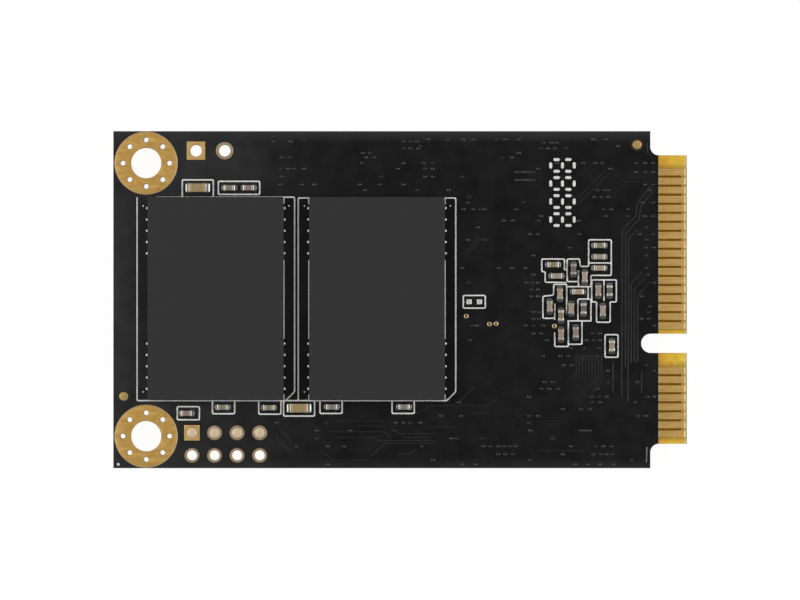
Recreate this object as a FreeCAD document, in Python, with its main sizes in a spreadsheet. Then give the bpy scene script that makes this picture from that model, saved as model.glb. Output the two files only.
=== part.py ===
"""Card-edge solid state drive: a bare circuit board with a keyed contact tab, screw lands and chips."""

import FreeCAD
import Part
import Sketcher
import math
import operator
import os
import types

# Driving sizes, in millimetres; each row of the sheet is one of them
SIZES = {
    # bare board: the tab is what enters the socket, the notch is its key
    "board_length": 50.80,
    "board_width": 29.85,
    "board_thickness": 1.00,
    "tab_length": 3.24,
    "shoulder_radius": 0.75,
    "notch_width": 1.70,
    "notch_depth": 4.05,
    "notch_offset": 3.87,
    "bevel_length": 0.25,
    "bevel_depth": 0.12,
    # plated copper
    "copper_thickness": 0.04,
    "barrel_wall": 0.04,
    # contact fingers, in a long bank above the key and a short bank below it
    "contact_pitch": 0.80,
    "contact_width": 0.62,
    "contact_length": 2.53,
    "contact_setback": 0.07,
    "long_bank_key_margin": 0.41,
    "long_bank_end_margin": 1.18,
    "short_bank_key_margin": 1.26,
    "short_bank_end_margin": 0.57,
    "under_contact_shift": 0.40,
    # screw lands at the two far corners
    "screw_hole_diameter": 2.70,
    "screw_land_diameter": 5.60,
    "screw_land_side_margin": 0.025,
    "screw_land_end_margin": 0.10,
    "stitch_hole_diameter": 0.45,
    "stitch_circle_diameter": 4.13,
    "stitch_drill_oversize": 0.02,
    # plated holes of the two-way jumper and the two-row header
    "jumper_pitch": 2.54,
    "jumper_land": 1.62,
    "jumper_hole": 1.04,
    "jumper_gap": 0.81,
    "jumper_side_inset": 1.73,
    "header_pitch": 2.00,
    "header_land": 1.36,
    "header_hole": 0.90,
    "header_gap": 0.58,
    "header_side_inset": 1.13,
    "solder_crown": 0.05,
    # bare gold marks and one empty two-pad site
    "mark_diameter": 0.86,
    "tab_mark_end_inset": 4.41,
    "tab_mark_side_inset": 1.20,
    "screw_mark_end_inset": 0.92,
    "screw_mark_side_inset": 6.36,
    "empty_pad_side": 0.46,
    "empty_pad_pitch": 0.92,
    "empty_site_gap": 2.62,
    "empty_site_drop": 0.29,
    # flash memory packages on their solder balls
    "flash_width": 12.00,
    "flash_length": 18.00,
    "flash_body_height": 0.95,
    "flash_edge_chamfer": 0.06,
    "flash_end_inset": 3.08,
    "flash_gap": 2.27,
    "flash_rise": 0.10,
    "ball_pitch": 1.00,
    "ball_diameter": 0.45,
    "ball_height": 0.25,
    # small and large two-terminal parts
    "small_length": 1.00,
    "small_width": 0.50,
    "small_capacitor_height": 0.50,
    "small_resistor_height": 0.35,
    "small_terminal": 0.24,
    "large_length": 1.60,
    "large_width": 0.80,
    "large_height": 0.80,
    "large_terminal": 0.34,
    "terminal_proud": 0.015,
    "placing_step": 0.10,
    # parts under the board
    "controller_side": 9.00,
    "controller_body_height": 0.80,
    "controller_chamfer": 0.08,
    "controller_ball_pitch": 0.80,
    "controller_ball_diameter": 0.40,
    "controller_ball_height": 0.20,
    "controller_tip_inset": 9.45,
    "controller_rise": 0.50,
    "inductor_length": 2.50,
    "inductor_width": 2.00,
    "inductor_corner": 0.30,
    "inductor_end_inset": 11.50,
    "inductor_spread": 5.00,
    "regulator_side": 2.00,
    "regulator_height": 0.75,
    "regulator_chamfer": 0.06,
    "power_gap": 0.60,
    "crystal_length": 3.20,
    "crystal_width": 2.50,
    "crystal_base_height": 0.40,
    "crystal_lid_height": 0.30,
    "crystal_lid_inset": 0.20,
    "crystal_gap": 1.20,
    "crystal_rise": 2.20,
}

# Whole numbers that belong to the kind of card and package
LONG_BANK_COUNT = 18
SHORT_BANK_COUNT = 8
STITCH_COUNT = 8
JUMPER_COLUMNS = 2
HEADER_COLUMNS = 4
HEADER_ROWS = 2
BALL_COLUMN_COUNT = 11
BALL_ROW_COUNT = 6
EMPTY_ROW_COUNT = 2
CONTROLLER_BALL_COUNT = 10
FULL_TURN = 360

# Sides of the small drilled and plated rounds and of the solder balls, which are drawn with few faces
STITCH_SIDES = 8
PIN_SIDES = 12
BALL_SIDES = 6

# Small parts beside the flash packages: name, kind, package, side of it,
# and placing steps along X from its middle and along Y away from its edge
FLASH_PARTS = [
    ("bulk_capacitor_1", "large", "left", 1, -16, 8),
    ("flash_capacitor_1", "small", "left", 1, 12, 8),
    ("flash_capacitor_2", "small", "left", 1, 29, 8),
    ("bulk_capacitor_2", "large", "right", -1, -69, 7),
    ("flash_capacitor_6", "small", "right", -1, -40, 6),
    ("flash_capacitor_7", "small", "right", -1, 24, 6),
]

# Small parts in the channel between the left package and the header: name, placing steps along X
# from the package's middle, and the share of the channel's free width left on the package's side
CHANNEL_PARTS = [
    ("flash_capacitor_3", -26, 0.53),
    ("flash_capacitor_4", 6, 0.22),
    ("flash_capacitor_5", 47, 0.24),
]

# Small parts over the controller: name, kind, turned along Y, placing steps from its centre
CORE_PARTS = [
    ("core_capacitor_01", "small", False, 17, 43),
    ("core_capacitor_02", "small", False, 17, 33),
    ("core_capacitor_03", "small", False, 17, 23),
    ("core_capacitor_04", "small", False, -24, 26),
    ("core_capacitor_05", "small", False, -21, 16),
    ("core_capacitor_06", "small", True, -6, 22),
    ("core_capacitor_07", "small", True, 4, 15),
    ("core_capacitor_08", "small", True, -18, 0),
    ("core_capacitor_09", "small", False, -2, 2),
    ("core_capacitor_10", "small", True, 16, 3),
    ("core_resistor_1", "resistor", True, 26, 3),
    ("core_capacitor_11", "small", True, -27, -11),
    ("core_capacitor_12", "small", True, -8, -13),
    ("core_resistor_2", "resistor", True, 3, -13),
    ("core_capacitor_13", "small", True, 20, -15),
    ("core_capacitor_14", "small", True, -17, -19),
    ("core_capacitor_15", "small", True, -17, -36),
    ("core_capacitor_16", "small", True, -4, -34),
    ("core_capacitor_17", "small", True, 28, -46),
]


class Formula:
    """A length as the sheet gives it: its value now, and the expression that keeps a property bound to it."""

    def __init__(self, value, text):
        self.value = value
        self.text = text

    def __add__(self, other):
        return combine(self, "+", other)

    def __radd__(self, other):
        return combine(other, "+", self)

    def __sub__(self, other):
        return combine(self, "-", other)

    def __mul__(self, other):
        return combine(self, "*", other)

    def __rmul__(self, other):
        return combine(other, "*", self)

    def __truediv__(self, other):
        return combine(self, "/", other)

    def __neg__(self):
        return combine(0, "-", self)


def combine(first, sign, second):
    """Two formulas or numbers joined by an arithmetic sign, in value and in text alike."""
    act = {"+": operator.add, "-": operator.sub, "*": operator.mul, "/": operator.truediv}[sign]
    a, b = (part if isinstance(part, Formula) else Formula(part, str(part)) for part in (first, second))
    return Formula(act(a.value, b.value), f"({a.text} {sign} {b.text})")


def make_sheet():
    """The sheet of driving sizes, one named cell each, and the formulas that read its cells."""
    sheet = doc.addObject("Spreadsheet::Sheet", "sizes")
    for row, (name, value) in enumerate(SIZES.items(), start=1):
        sheet.set(f"A{row}", name)
        sheet.set(f"B{row}", str(value))
        sheet.setAlias(f"B{row}", name)
    doc.recompute()
    return types.SimpleNamespace(**{name: Formula(float(sheet.get(name)), f"sizes.{name}") for name in SIZES})


def bind(thing, **lengths):
    """Binds properties of an object to formulas."""
    for name, length in lengths.items():
        thing.setExpression(name, length.text)


def place(thing, x, y, z):
    """Binds an object's position to three formulas."""
    for axis, length in zip("xyz", (x, y, z)):
        thing.setExpression(f"Placement.Base.{axis}", length.text)


def make(kind, label):
    """A new object of the document, named for the piece it belongs to."""
    thing = doc.addObject(kind, label)
    thing.Label = label
    return thing


def block(label, low, high):
    """A rectangular block between two opposite corners."""
    box = make("Part::Box", label)
    bind(box, Length=high[0] - low[0], Width=high[1] - low[1], Height=high[2] - low[2])
    place(box, *low)
    return box


def round_bar(label, x, y, bottom, top, diameter):
    """A round upright bar."""
    bar = make("Part::Cylinder", label)
    bind(bar, Radius=diameter / 2, Height=top - bottom)
    place(bar, x, y, bottom)
    return bar


def faceted_bar(label, x, y, bottom, top, diameter, sides):
    """A small round upright bar drawn with few flat sides, its diameter taken across their corners."""
    bar = make("Part::Prism", label)
    bar.Polygon = sides
    bind(bar, Circumradius=diameter / 2, Height=top - bottom)
    place(bar, x, y, bottom)
    return bar


def fuse(label, pieces):
    """Several solids made one."""
    whole = make("Part::MultiFuse", label)
    whole.Shapes = pieces
    whole.Refine = True
    return whole


def cut(label, base, tool):
    """One solid with another taken out of it."""
    rest = make("Part::Cut", label)
    rest.Base = base
    rest.Tool = tool
    return rest


def group(label, pieces):
    """Separate solids kept together as one node."""
    whole = make("Part::Compound", label)
    whole.Links = pieces
    return whole


def origin_feature(body, role):
    """One of a body's own origin planes or axes."""
    return next(item for item in body.Origin.OriginFeatures if item.Role == role)


def new_sketch(body, label, plane):
    """An empty sketch on one of the body's own origin planes."""
    sketch = body.newObject("Sketcher::SketchObject", label)
    sketch.AttachmentSupport = (origin_feature(body, plane), [""])
    sketch.MapMode = "FlatFace"
    return sketch


def fix_point(sketch, geometry, point, x, y):
    """Ties one point of a sketch to two formulas, measured from the sketch's origin."""
    for kind, length in (("DistanceX", x), ("DistanceY", y)):
        index = sketch.addConstraint(Sketcher.Constraint(kind, geometry, point, length.value))
        sketch.setExpression(f"Constraints[{index}]", length.text)


def fix_length(sketch, kind, geometry, *rest):
    """Ties a one-value constraint of a sketch to the formula that comes last."""
    *points, length = rest
    index = sketch.addConstraint(Sketcher.Constraint(kind, geometry, *points, length.value))
    sketch.setExpression(f"Constraints[{index}]", length.text)


def vector(x, y):
    """A sketch point at the present value of two formulas."""
    return FreeCAD.Vector(x.value, y.value, 0)


def clockwise_arc(start, end, centre):
    """The arc that runs clockwise from start to end; it is stored the other way round."""
    radius = (start - centre).Length
    first, last = (math.atan2(p.y - centre.y, p.x - centre.x) for p in (end, start))
    circle = Part.Circle(centre, FreeCAD.Vector(0, 0, 1), radius)
    return Part.ArcOfCircle(circle, first, last if last > first else last + 2 * math.pi)


def outline(sketch, corners):
    """A closed outline through its corners. A corner's third entry centres the clockwise arc leaving it."""
    before = sketch.GeometryCount
    count = len(corners)
    heads, tails = [], []
    for index, corner in enumerate(corners):
        start, end = vector(*corner[:2]), vector(*corners[(index + 1) % count][:2])
        if len(corner) == 3:
            sketch.addGeometry(clockwise_arc(start, end, vector(*corner[2])), False)
            fix_length(sketch, "DistanceX", before + index, 3, corner[2][0])
        else:
            sketch.addGeometry(Part.LineSegment(start, end), False)
        heads.append((before + index, 2 if len(corner) == 3 else 1))
        tails.append((before + index, 1 if len(corner) == 3 else 2))
    for index, corner in enumerate(corners):
        sketch.addConstraint(Sketcher.Constraint("Coincident", *tails[index - 1], *heads[index]))
        fix_point(sketch, *heads[index], *corner[:2])


def rectangle(sketch, width, length):
    """A rectangle about the sketch's origin."""
    x, y = width / 2, length / 2
    outline(sketch, [(-x, -y), (x, -y), (x, y), (-x, y)])


def circle(sketch, x, y, diameter):
    """A circle in a sketch."""
    index = sketch.addGeometry(Part.Circle(vector(x, y), FreeCAD.Vector(0, 0, 1), diameter.value / 2), False)
    fix_point(sketch, index, 3, x, y)
    fix_length(sketch, "Radius", index, diameter / 2)


def faceted_circle(sketch, x, y, diameter, sides):
    """A small circle drawn with few flat sides, its diameter taken across their corners."""
    turns = [2 * math.pi * n / sides for n in range(sides)]
    radius = diameter / 2
    outline(sketch, [(x + radius * math.cos(turn), y + radius * math.sin(turn)) for turn in turns])


def pad(body, label, sketch, length):
    """A sketch raised into a solid."""
    feature = body.newObject("PartDesign::Pad", label)
    feature.Profile = sketch
    bind(feature, Length=length)
    return feature


def pocket_through(body, label, sketch):
    """A sketch cut right through the body, both ways."""
    feature = body.newObject("PartDesign::Pocket", label)
    feature.Profile = sketch
    feature.Type = "ThroughAll"
    feature.SideType = "Symmetric"
    return feature


def polar_pattern(body, label, original, axis, count):
    """Copies of a feature evenly round an axis."""
    pattern = body.newObject("PartDesign::PolarPattern", label)
    pattern.Originals = [original]
    pattern.Axis = axis
    pattern.Angle = FULL_TURN
    pattern.Occurrences = count
    body.Tip = pattern
    return pattern


def grid_pattern(body, label, original, pitch, columns, rows=1):
    """Copies of a feature at one pitch along X and, for more than one row, along Y."""
    pattern = body.newObject("PartDesign::LinearPattern", label)
    pattern.Originals = [original]
    pattern.Direction = (origin_feature(body, "X_Axis"), [""])
    pattern.Occurrences = columns
    bind(pattern, Length=pitch * (columns - 1))
    if rows > 1:
        pattern.Direction2 = (origin_feature(body, "Y_Axis"), [""])
        pattern.Occurrences2 = rows
        bind(pattern, Length2=pitch * (rows - 1))
    body.Tip = pattern
    return pattern


def flat_face(shape, outward):
    """The name of the flat face that lies furthest along a direction."""
    faces = [(face.CenterOfMass.dot(outward), index) for index, face in enumerate(shape.Faces, start=1)]
    return f"Face{max(faces)[1]}"


def moulded_block(label, width, length, height, chamfer, under=False):
    """A moulded package, its outer face with a broken edge. It stands on its origin, or hangs from it."""
    body = make("PartDesign::Body", label)
    sketch = new_sketch(body, f"{label}_plan", "XY_Plane")
    rectangle(sketch, width, length)
    raised = pad(body, f"{label}_height", sketch, height)
    raised.Reversed = under
    doc.recompute()
    edge = body.newObject("PartDesign::Chamfer", f"{label}_edge")
    edge.Base = (raised, [flat_face(raised.Shape, FreeCAD.Vector(0, 0, -1 if under else 1))])
    bind(edge, Size=chamfer)
    return body


doc = FreeCAD.newDocument("solid_state_drive")
s = make_sheet()

# Levels: the drive lies on its tallest lower parts, and Z is 0 there
under_face = s.controller_body_height + s.controller_ball_height
top_face = under_face + s.board_thickness
top_copper = top_face + s.copper_thickness
under_copper = under_face - s.copper_thickness

# Places along the board: the screw end is at -X, the contact tip at +X
screw_end = -s.board_length / 2
tip = s.board_length / 2
half_width = s.board_width / 2
shoulder = tip - s.tab_length
screw_x = screw_end + s.screw_land_end_margin + s.screw_land_diameter / 2
screw_y = half_width - s.screw_land_side_margin - s.screw_land_diameter / 2

# The key and the contact banks on both sides of it, which set the tab's ends
key_high = s.notch_width / 2 - s.notch_offset
key_low = -s.notch_width / 2 - s.notch_offset
long_bank_low = key_high + s.long_bank_key_margin + s.contact_width / 2
long_bank_high = long_bank_low + s.contact_pitch * (LONG_BANK_COUNT - 1)
short_bank_high = key_low - s.short_bank_key_margin - s.contact_width / 2
short_bank_low = short_bank_high - s.contact_pitch * (SHORT_BANK_COUNT - 1)
tab_high = long_bank_high + s.contact_width / 2 + s.long_bank_end_margin
tab_low = short_bank_low - s.contact_width / 2 - s.short_bank_end_margin

# Plated holes: two of the jumper, then the header's two rows
land_side = screw_x + s.screw_land_diameter / 2
jumper_start = land_side + s.jumper_gap + s.jumper_land / 2
jumper_x = [jumper_start + s.jumper_pitch * n for n in range(JUMPER_COLUMNS)]
jumper_y = half_width - s.jumper_side_inset
header_start = land_side + s.header_gap + s.header_land / 2
header_x = [header_start + s.header_pitch * n for n in range(HEADER_COLUMNS)]
header_y = [s.header_side_inset - half_width + s.header_pitch * n for n in range(HEADER_ROWS)]

# Flash packages and the controller
flash_x = {"left": screw_end + s.flash_end_inset + s.flash_width / 2}
flash_x["right"] = flash_x["left"] + s.flash_width + s.flash_gap
core_x = tip - s.controller_tip_inset
core_y = s.controller_rise


def make_board():
    """The laminate: routed outline with its key, drilled holes and bevelled tip."""
    body = make("PartDesign::Body", "circuit_board")
    plan = new_sketch(body, "board_plan", "XY_Plane")
    radius = s.shoulder_radius
    notch_root = tip - s.notch_depth + s.notch_width / 2
    outline(plan, [
        (screw_end, -half_width),
        (shoulder, -half_width),
        (shoulder, tab_low - radius, (shoulder + radius, tab_low - radius)),
        (shoulder + radius, tab_low),
        (tip, tab_low),
        (tip, key_low),
        (notch_root, key_low, (notch_root, -s.notch_offset)),
        (notch_root, key_high),
        (tip, key_high),
        (tip, tab_high),
        (shoulder + radius, tab_high, (shoulder + radius, tab_high + radius)),
        (shoulder, tab_high + radius),
        (shoulder, half_width),
        (screw_end, half_width),
    ])
    pad(body, "board_thickness", plan, s.board_thickness)
    holes = new_sketch(body, "drilled_holes", "XY_Plane")
    for y in (screw_y, -screw_y):
        circle(holes, screw_x, y, s.screw_hole_diameter + 2 * s.barrel_wall)
    pocket_through(body, "drilling", holes)
    jumper = new_sketch(body, "jumper_drill", "XY_Plane")
    faceted_circle(jumper, jumper_x[0], jumper_y, s.jumper_hole + 2 * s.barrel_wall, PIN_SIDES)
    first = pocket_through(body, "jumper_first_hole", jumper)
    grid_pattern(body, "jumper_drilling", first, s.jumper_pitch, JUMPER_COLUMNS)
    header = new_sketch(body, "header_drill", "XY_Plane")
    faceted_circle(header, header_x[0], header_y[0], s.header_hole + 2 * s.barrel_wall, PIN_SIDES)
    first = pocket_through(body, "header_first_hole", header)
    grid_pattern(body, "header_drilling", first, s.header_pitch, HEADER_COLUMNS, HEADER_ROWS)
    for name, y in (("upper", screw_y), ("lower", -screw_y)):
        stitch = new_sketch(body, f"{name}_stitch_hole", "XY_Plane")
        stitch.setExpression("AttachmentOffset.Base.x", screw_x.text)
        stitch.setExpression("AttachmentOffset.Base.y", y.text)
        faceted_circle(stitch, s.stitch_circle_diameter / 2, 0 * s.stitch_circle_diameter,
                       s.stitch_hole_diameter + s.stitch_drill_oversize, STITCH_SIDES)
        drilled = pocket_through(body, f"{name}_stitch_drilling", stitch)
        polar_pattern(body, f"{name}_stitch_ring", drilled, (stitch, ["N_Axis"]), STITCH_COUNT)
    bevels = new_sketch(body, "tip_bevels", "XZ_Plane")
    for face, depth in ((s.board_thickness, s.board_thickness - s.bevel_depth),
                        (0 * s.board_thickness, s.bevel_depth)):
        outline(bevels, [(tip - s.bevel_length, face), (tip, depth), (tip, face)])
    pocket_through(body, "tip_bevelling", bevels)
    place(body, 0 * tip, 0 * tip, under_face)
    return body


def make_screw_land(label, y):
    """A plated screw hole: a land on both faces, joined through the bore and ringed by stitching holes."""
    body = make("PartDesign::Body", label)
    section = new_sketch(body, f"{label}_section", "XZ_Plane")
    bore = s.screw_hole_diameter / 2
    barrel = bore + s.barrel_wall
    rim = s.screw_land_diameter / 2
    low, high = -s.copper_thickness, s.board_thickness + s.copper_thickness
    zero = 0 * s.board_thickness
    outline(section, [
        (bore, low), (rim, low), (rim, zero), (barrel, zero),
        (barrel, s.board_thickness), (rim, s.board_thickness), (rim, high), (bore, high),
    ])
    turned = body.newObject("PartDesign::Revolution", f"{label}_plating")
    turned.Profile = section
    turned.ReferenceAxis = (section, ["V_Axis"])
    turned.Angle = FULL_TURN
    stitch = new_sketch(body, f"{label}_stitch_hole", "XY_Plane")
    faceted_circle(stitch, s.stitch_circle_diameter / 2, zero, s.stitch_hole_diameter, STITCH_SIDES)
    drilled = pocket_through(body, f"{label}_stitch_drilling", stitch)
    polar_pattern(body, f"{label}_stitch_ring", drilled, (origin_feature(body, "Z_Axis"), [""]), STITCH_COUNT)
    place(body, screw_x, y, under_face)
    return body


def make_plated_hole(label, x, y, land, hole, square):
    """A plated through hole with a land on both faces, square for the first pin."""
    half = land / 2
    rims = []
    for side, low, high in (("top", top_face, top_copper), ("under", under_copper, under_face)):
        if square:
            rims.append(block(f"{label}_{side}_land", (x - half, y - half, low), (x + half, y + half, high)))
        else:
            rims.append(faceted_bar(f"{label}_{side}_land", x, y, low, high, land, PIN_SIDES))
    barrel = faceted_bar(f"{label}_barrel", x, y, under_face, top_face, hole + 2 * s.barrel_wall, PIN_SIDES)
    bore = faceted_bar(f"{label}_bore", x, y, under_copper, top_copper, hole, PIN_SIDES)
    return cut(label, fuse(f"{label}_plating", [*rims, barrel]), bore)


def make_header_solder():
    """The upper header row, filled with solder that stands a little proud of its lands."""
    top = top_copper + s.solder_crown
    plugs = [faceted_bar(f"header_plug_{n}", x, header_y[1], under_copper, top, s.header_hole, PIN_SIDES)
             for n, x in enumerate(header_x, start=1)]
    return group("header_solder", plugs)


def make_contact_bank(label, count, first_y, top):
    """A bank of contact fingers, each running along the tab and bending down over its bevel."""
    body = make("PartDesign::Body", label)
    section = new_sketch(body, f"{label}_section", "XZ_Plane")
    way = 1 if top else -1
    root, bend, end = tip - s.contact_length, tip - s.bevel_length, tip - s.contact_setback
    face = top_face if top else under_face
    drop = face - way * (s.bevel_depth * (s.bevel_length - s.contact_setback) / s.bevel_length)
    lift = way * s.copper_thickness
    inner = [(root, face), (bend, face), (end, drop)]
    outer = [(x, z + lift) for x, z in reversed(inner)]
    outline(section, inner + outer)
    finger = pad(body, f"{label}_finger", section, s.contact_width)
    finger.SideType = "Symmetric"
    row = body.newObject("PartDesign::LinearPattern", f"{label}_row")
    row.Originals = [finger]
    row.Direction = (origin_feature(body, "Y_Axis"), [""])
    row.Reversed = True
    row.Occurrences = count
    bind(row, Length=s.contact_pitch * (count - 1))
    body.Tip = row
    place(body, 0 * tip, first_y, 0 * tip)
    return body


def make_contacts(label, top, shift):
    """Both banks of one side of the tab."""
    banks = [make_contact_bank(f"{label}_long_bank", LONG_BANK_COUNT, long_bank_high + shift, top),
             make_contact_bank(f"{label}_short_bank", SHORT_BANK_COUNT, short_bank_high + shift, top)]
    return group(label, banks)


def make_marks():
    """Two bare gold dots that line up the board in assembly."""
    places = [(tip - s.tab_mark_end_inset, half_width - s.tab_mark_side_inset),
              (screw_end + s.screw_mark_end_inset, s.screw_mark_side_inset - half_width)]
    dots = [round_bar(f"mark_{n}", x, y, top_face, top_copper, s.mark_diameter)
            for n, (x, y) in enumerate(places, start=1)]
    return group("alignment_marks", dots)


def make_empty_site():
    """Two tinned pads where no part is fitted."""
    half = s.empty_pad_side / 2
    y = s.flash_rise - s.empty_site_drop
    first = flash_x["right"] + s.flash_width / 2 + s.empty_site_gap - s.empty_pad_pitch / 2
    pads = []
    for n in range(2):
        x = first + s.empty_pad_pitch * n
        low, high = (x - half, y - half, top_face), (x + half, y + half, top_copper)
        pads.append(block(f"empty_pad_{n + 1}", low, high))
    return group("empty_part_pads", pads)


def make_flash(side):
    """A flash package on the outer balls of its two ball fields; the inner balls can't be seen."""
    chip = moulded_block(f"flash_chip_{side}", s.flash_width, s.flash_length, s.flash_body_height,
                         s.flash_edge_chamfer)
    place(chip, flash_x[side], s.flash_rise, top_face + s.ball_height)
    middle = (BALL_COLUMN_COUNT - 1) // 2
    outermost = EMPTY_ROW_COUNT + BALL_ROW_COUNT
    rows = [sign * (EMPTY_ROW_COUNT + n + 1) for sign in (1, -1) for n in range(BALL_ROW_COUNT)]
    balls = []
    for column in range(-middle, middle + 1):
        for row in rows:
            if abs(column) == middle or abs(row) == outermost:
                x, y = flash_x[side] + s.ball_pitch * column, s.flash_rise + s.ball_pitch * row
                balls.append(faceted_bar(f"flash_{side}_ball_{len(balls) + 1}", x, y, top_face,
                                         top_face + s.ball_height, s.ball_diameter, BALL_SIDES))
    return [chip, group(f"flash_balls_{side}", balls)]


def make_two_terminal(label, kind, x, y, turned, under=False):
    """A ceramic chip part: a block between two metal ends that stand a little proud of it."""
    length, width, height, terminal = {
        "small": (s.small_length, s.small_width, s.small_capacitor_height, s.small_terminal),
        "resistor": (s.small_length, s.small_width, s.small_resistor_height, s.small_terminal),
        "large": (s.large_length, s.large_width, s.large_height, s.large_terminal),
    }[kind]
    proud = s.terminal_proud
    bottom, top = (under_face - height, under_face) if under else (top_face, top_face + height)
    solids = []
    for part, start, end, inset in (("body", terminal - length / 2, length / 2 - terminal, proud),
                                    ("first_end", -length / 2, terminal - length / 2, 0 * proud),
                                    ("last_end", length / 2 - terminal, length / 2, 0 * proud)):
        across = width / 2 - inset
        low, high = (x + start, y - across), (x + end, y + across)
        if turned:
            low, high = (x - across, y + start), (x + across, y + end)
        solids.append(block(f"{label}_{part}", (*low, bottom + inset), (*high, top - inset)))
    return fuse(label, solids)


def make_top_parts():
    """Every small part on the upper face."""
    nodes = []
    for label, kind, side, way, along, away in FLASH_PARTS:
        y = s.flash_rise + way * (s.flash_length / 2 + s.placing_step * away)
        nodes.append(make_two_terminal(label, kind, flash_x[side] + s.placing_step * along, y, False))
    flash_low = s.flash_rise - s.flash_length / 2
    free = flash_low - (header_y[1] + s.header_land / 2) - s.small_width
    for label, along, share in CHANNEL_PARTS:
        y = flash_low - free * share - s.small_width / 2
        nodes.append(make_two_terminal(label, "small", flash_x["left"] + s.placing_step * along, y, False))
    for label, kind, turned, along, up in CORE_PARTS:
        x, y = core_x + s.placing_step * along, core_y + s.placing_step * up
        nodes.append(make_two_terminal(label, kind, x, y, turned))
    return nodes


def make_inductor(label, x, y):
    """A moulded power inductor with its upright corners cut off."""
    body = make("PartDesign::Body", label)
    plan = new_sketch(body, f"{label}_plan", "XY_Plane")
    rectangle(plan, s.inductor_length, s.inductor_width)
    block_pad = pad(body, f"{label}_height", plan, s.controller_body_height + s.controller_ball_height)
    block_pad.Reversed = True
    doc.recompute()
    upright = [f"Edge{n}" for n, edge in enumerate(block_pad.Shape.Edges, start=1)
               if abs(edge.tangentAt(edge.FirstParameter).z) > 0.5]
    corners = body.newObject("PartDesign::Chamfer", f"{label}_corners")
    corners.Base = (block_pad, upright)
    bind(corners, Size=s.inductor_corner)
    place(body, x, y, under_face)
    return body


def make_crystal():
    """A crystal in its can: a ceramic base with a smaller metal lid."""
    body = make("PartDesign::Body", "crystal")
    base = new_sketch(body, "crystal_base_plan", "XY_Plane")
    rectangle(base, s.crystal_width, s.crystal_length)
    base_pad = pad(body, "crystal_base", base, s.crystal_base_height)
    base_pad.Reversed = True
    lid = new_sketch(body, "crystal_lid_plan", "XY_Plane")
    rectangle(lid, s.crystal_width - 2 * s.crystal_lid_inset, s.crystal_length - 2 * s.crystal_lid_inset)
    lid_pad = pad(body, "crystal_lid", lid, s.crystal_base_height + s.crystal_lid_height)
    lid_pad.Reversed = True
    x = core_x - s.controller_side / 2 - s.crystal_gap - s.crystal_width / 2
    place(body, x, core_y + s.crystal_rise, under_face)
    return body


def make_controller():
    """The controller on the outermost ring of its solder balls."""
    chip = moulded_block("controller_chip", s.controller_side, s.controller_side, s.controller_body_height,
                         s.controller_chamfer, under=True)
    chip_face = under_face - s.controller_ball_height
    place(chip, core_x, core_y, chip_face)
    last = CONTROLLER_BALL_COUNT - 1
    balls = []
    for column in range(CONTROLLER_BALL_COUNT):
        for row in range(CONTROLLER_BALL_COUNT):
            if column in (0, last) or row in (0, last):
                x, y = (centre + s.controller_ball_pitch * (n - last / 2)
                        for centre, n in ((core_x, column), (core_y, row)))
                balls.append(faceted_bar(f"controller_ball_{len(balls) + 1}", x, y, chip_face, under_face,
                                         s.controller_ball_diameter, BALL_SIDES))
    return [chip, group("controller_balls", balls)]


def make_under_parts():
    """The lower face: the controller, two converters with their inductors, and the crystal."""
    nodes = make_controller() + [make_crystal()]
    inductor_x = screw_end + s.inductor_end_inset
    regulator_x = inductor_x + s.inductor_length / 2 + s.power_gap + s.regulator_side / 2
    large_x = inductor_x - s.inductor_length / 2 - s.power_gap - s.large_width / 2
    small_x = regulator_x + s.regulator_side / 2 + s.power_gap + s.small_width / 2
    for name, y in (("upper", s.inductor_spread), ("lower", -s.inductor_spread)):
        nodes.append(make_inductor(f"{name}_inductor", inductor_x, y))
        regulator = moulded_block(f"{name}_regulator", s.regulator_side, s.regulator_side, s.regulator_height,
                                  s.regulator_chamfer, under=True)
        place(regulator, regulator_x, y, under_face)
        nodes.append(regulator)
        nodes.append(make_two_terminal(f"{name}_output_capacitor", "large", large_x, y, True, under=True))
        nodes.append(make_two_terminal(f"{name}_input_capacitor", "small", small_x, y, True, under=True))
    return nodes


def make_drive():
    """Every piece of the drive, each under the name of its node."""
    nodes = [make_board(),
             make_screw_land("upper_screw_land", screw_y),
             make_screw_land("lower_screw_land", -screw_y),
             make_contacts("edge_contacts_top", True, 0 * s.under_contact_shift),
             make_contacts("edge_contacts_under", False, s.under_contact_shift)]
    jumper = [make_plated_hole(f"jumper_hole_{n + 1}", x, jumper_y, s.jumper_land, s.jumper_hole, n == 0)
              for n, x in enumerate(jumper_x)]
    header = []
    for row, y in enumerate(header_y):
        for n, x in enumerate(header_x):
            label, square = f"header_hole_{row + 1}_{n + 1}", (row, n) == (1, 0)
            header.append(make_plated_hole(label, x, y, s.header_land, s.header_hole, square))
    nodes += [group("jumper_lands", jumper), group("header_lands", header), make_header_solder()]
    nodes += [make_marks(), make_empty_site()]
    nodes += make_flash("left") + make_flash("right")
    return nodes + make_top_parts() + make_under_parts()


def check(nodes):
    """Stops before anything is written if a feature failed or a piece isn't a sound solid."""
    for thing in doc.Objects:
        if {"Invalid", "Error"} & set(thing.State):
            raise RuntimeError(f"{thing.Label} failed: {thing.getStatusString()}")
    for node in nodes:
        if node.Shape.isNull() or not node.Shape.isValid() or not node.Shape.Solids:
            raise RuntimeError(f"{node.Label} is not a sound solid")


drive = make_drive()
doc.recompute()
check(drive)
os.makedirs("parts", exist_ok=True)
for node in drive:
    node.Shape.exportStep(os.path.join("parts", f"{node.Label}.step"))
    print(node.Label, len(node.Shape.Solids), round(node.Shape.Volume, 4))
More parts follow.
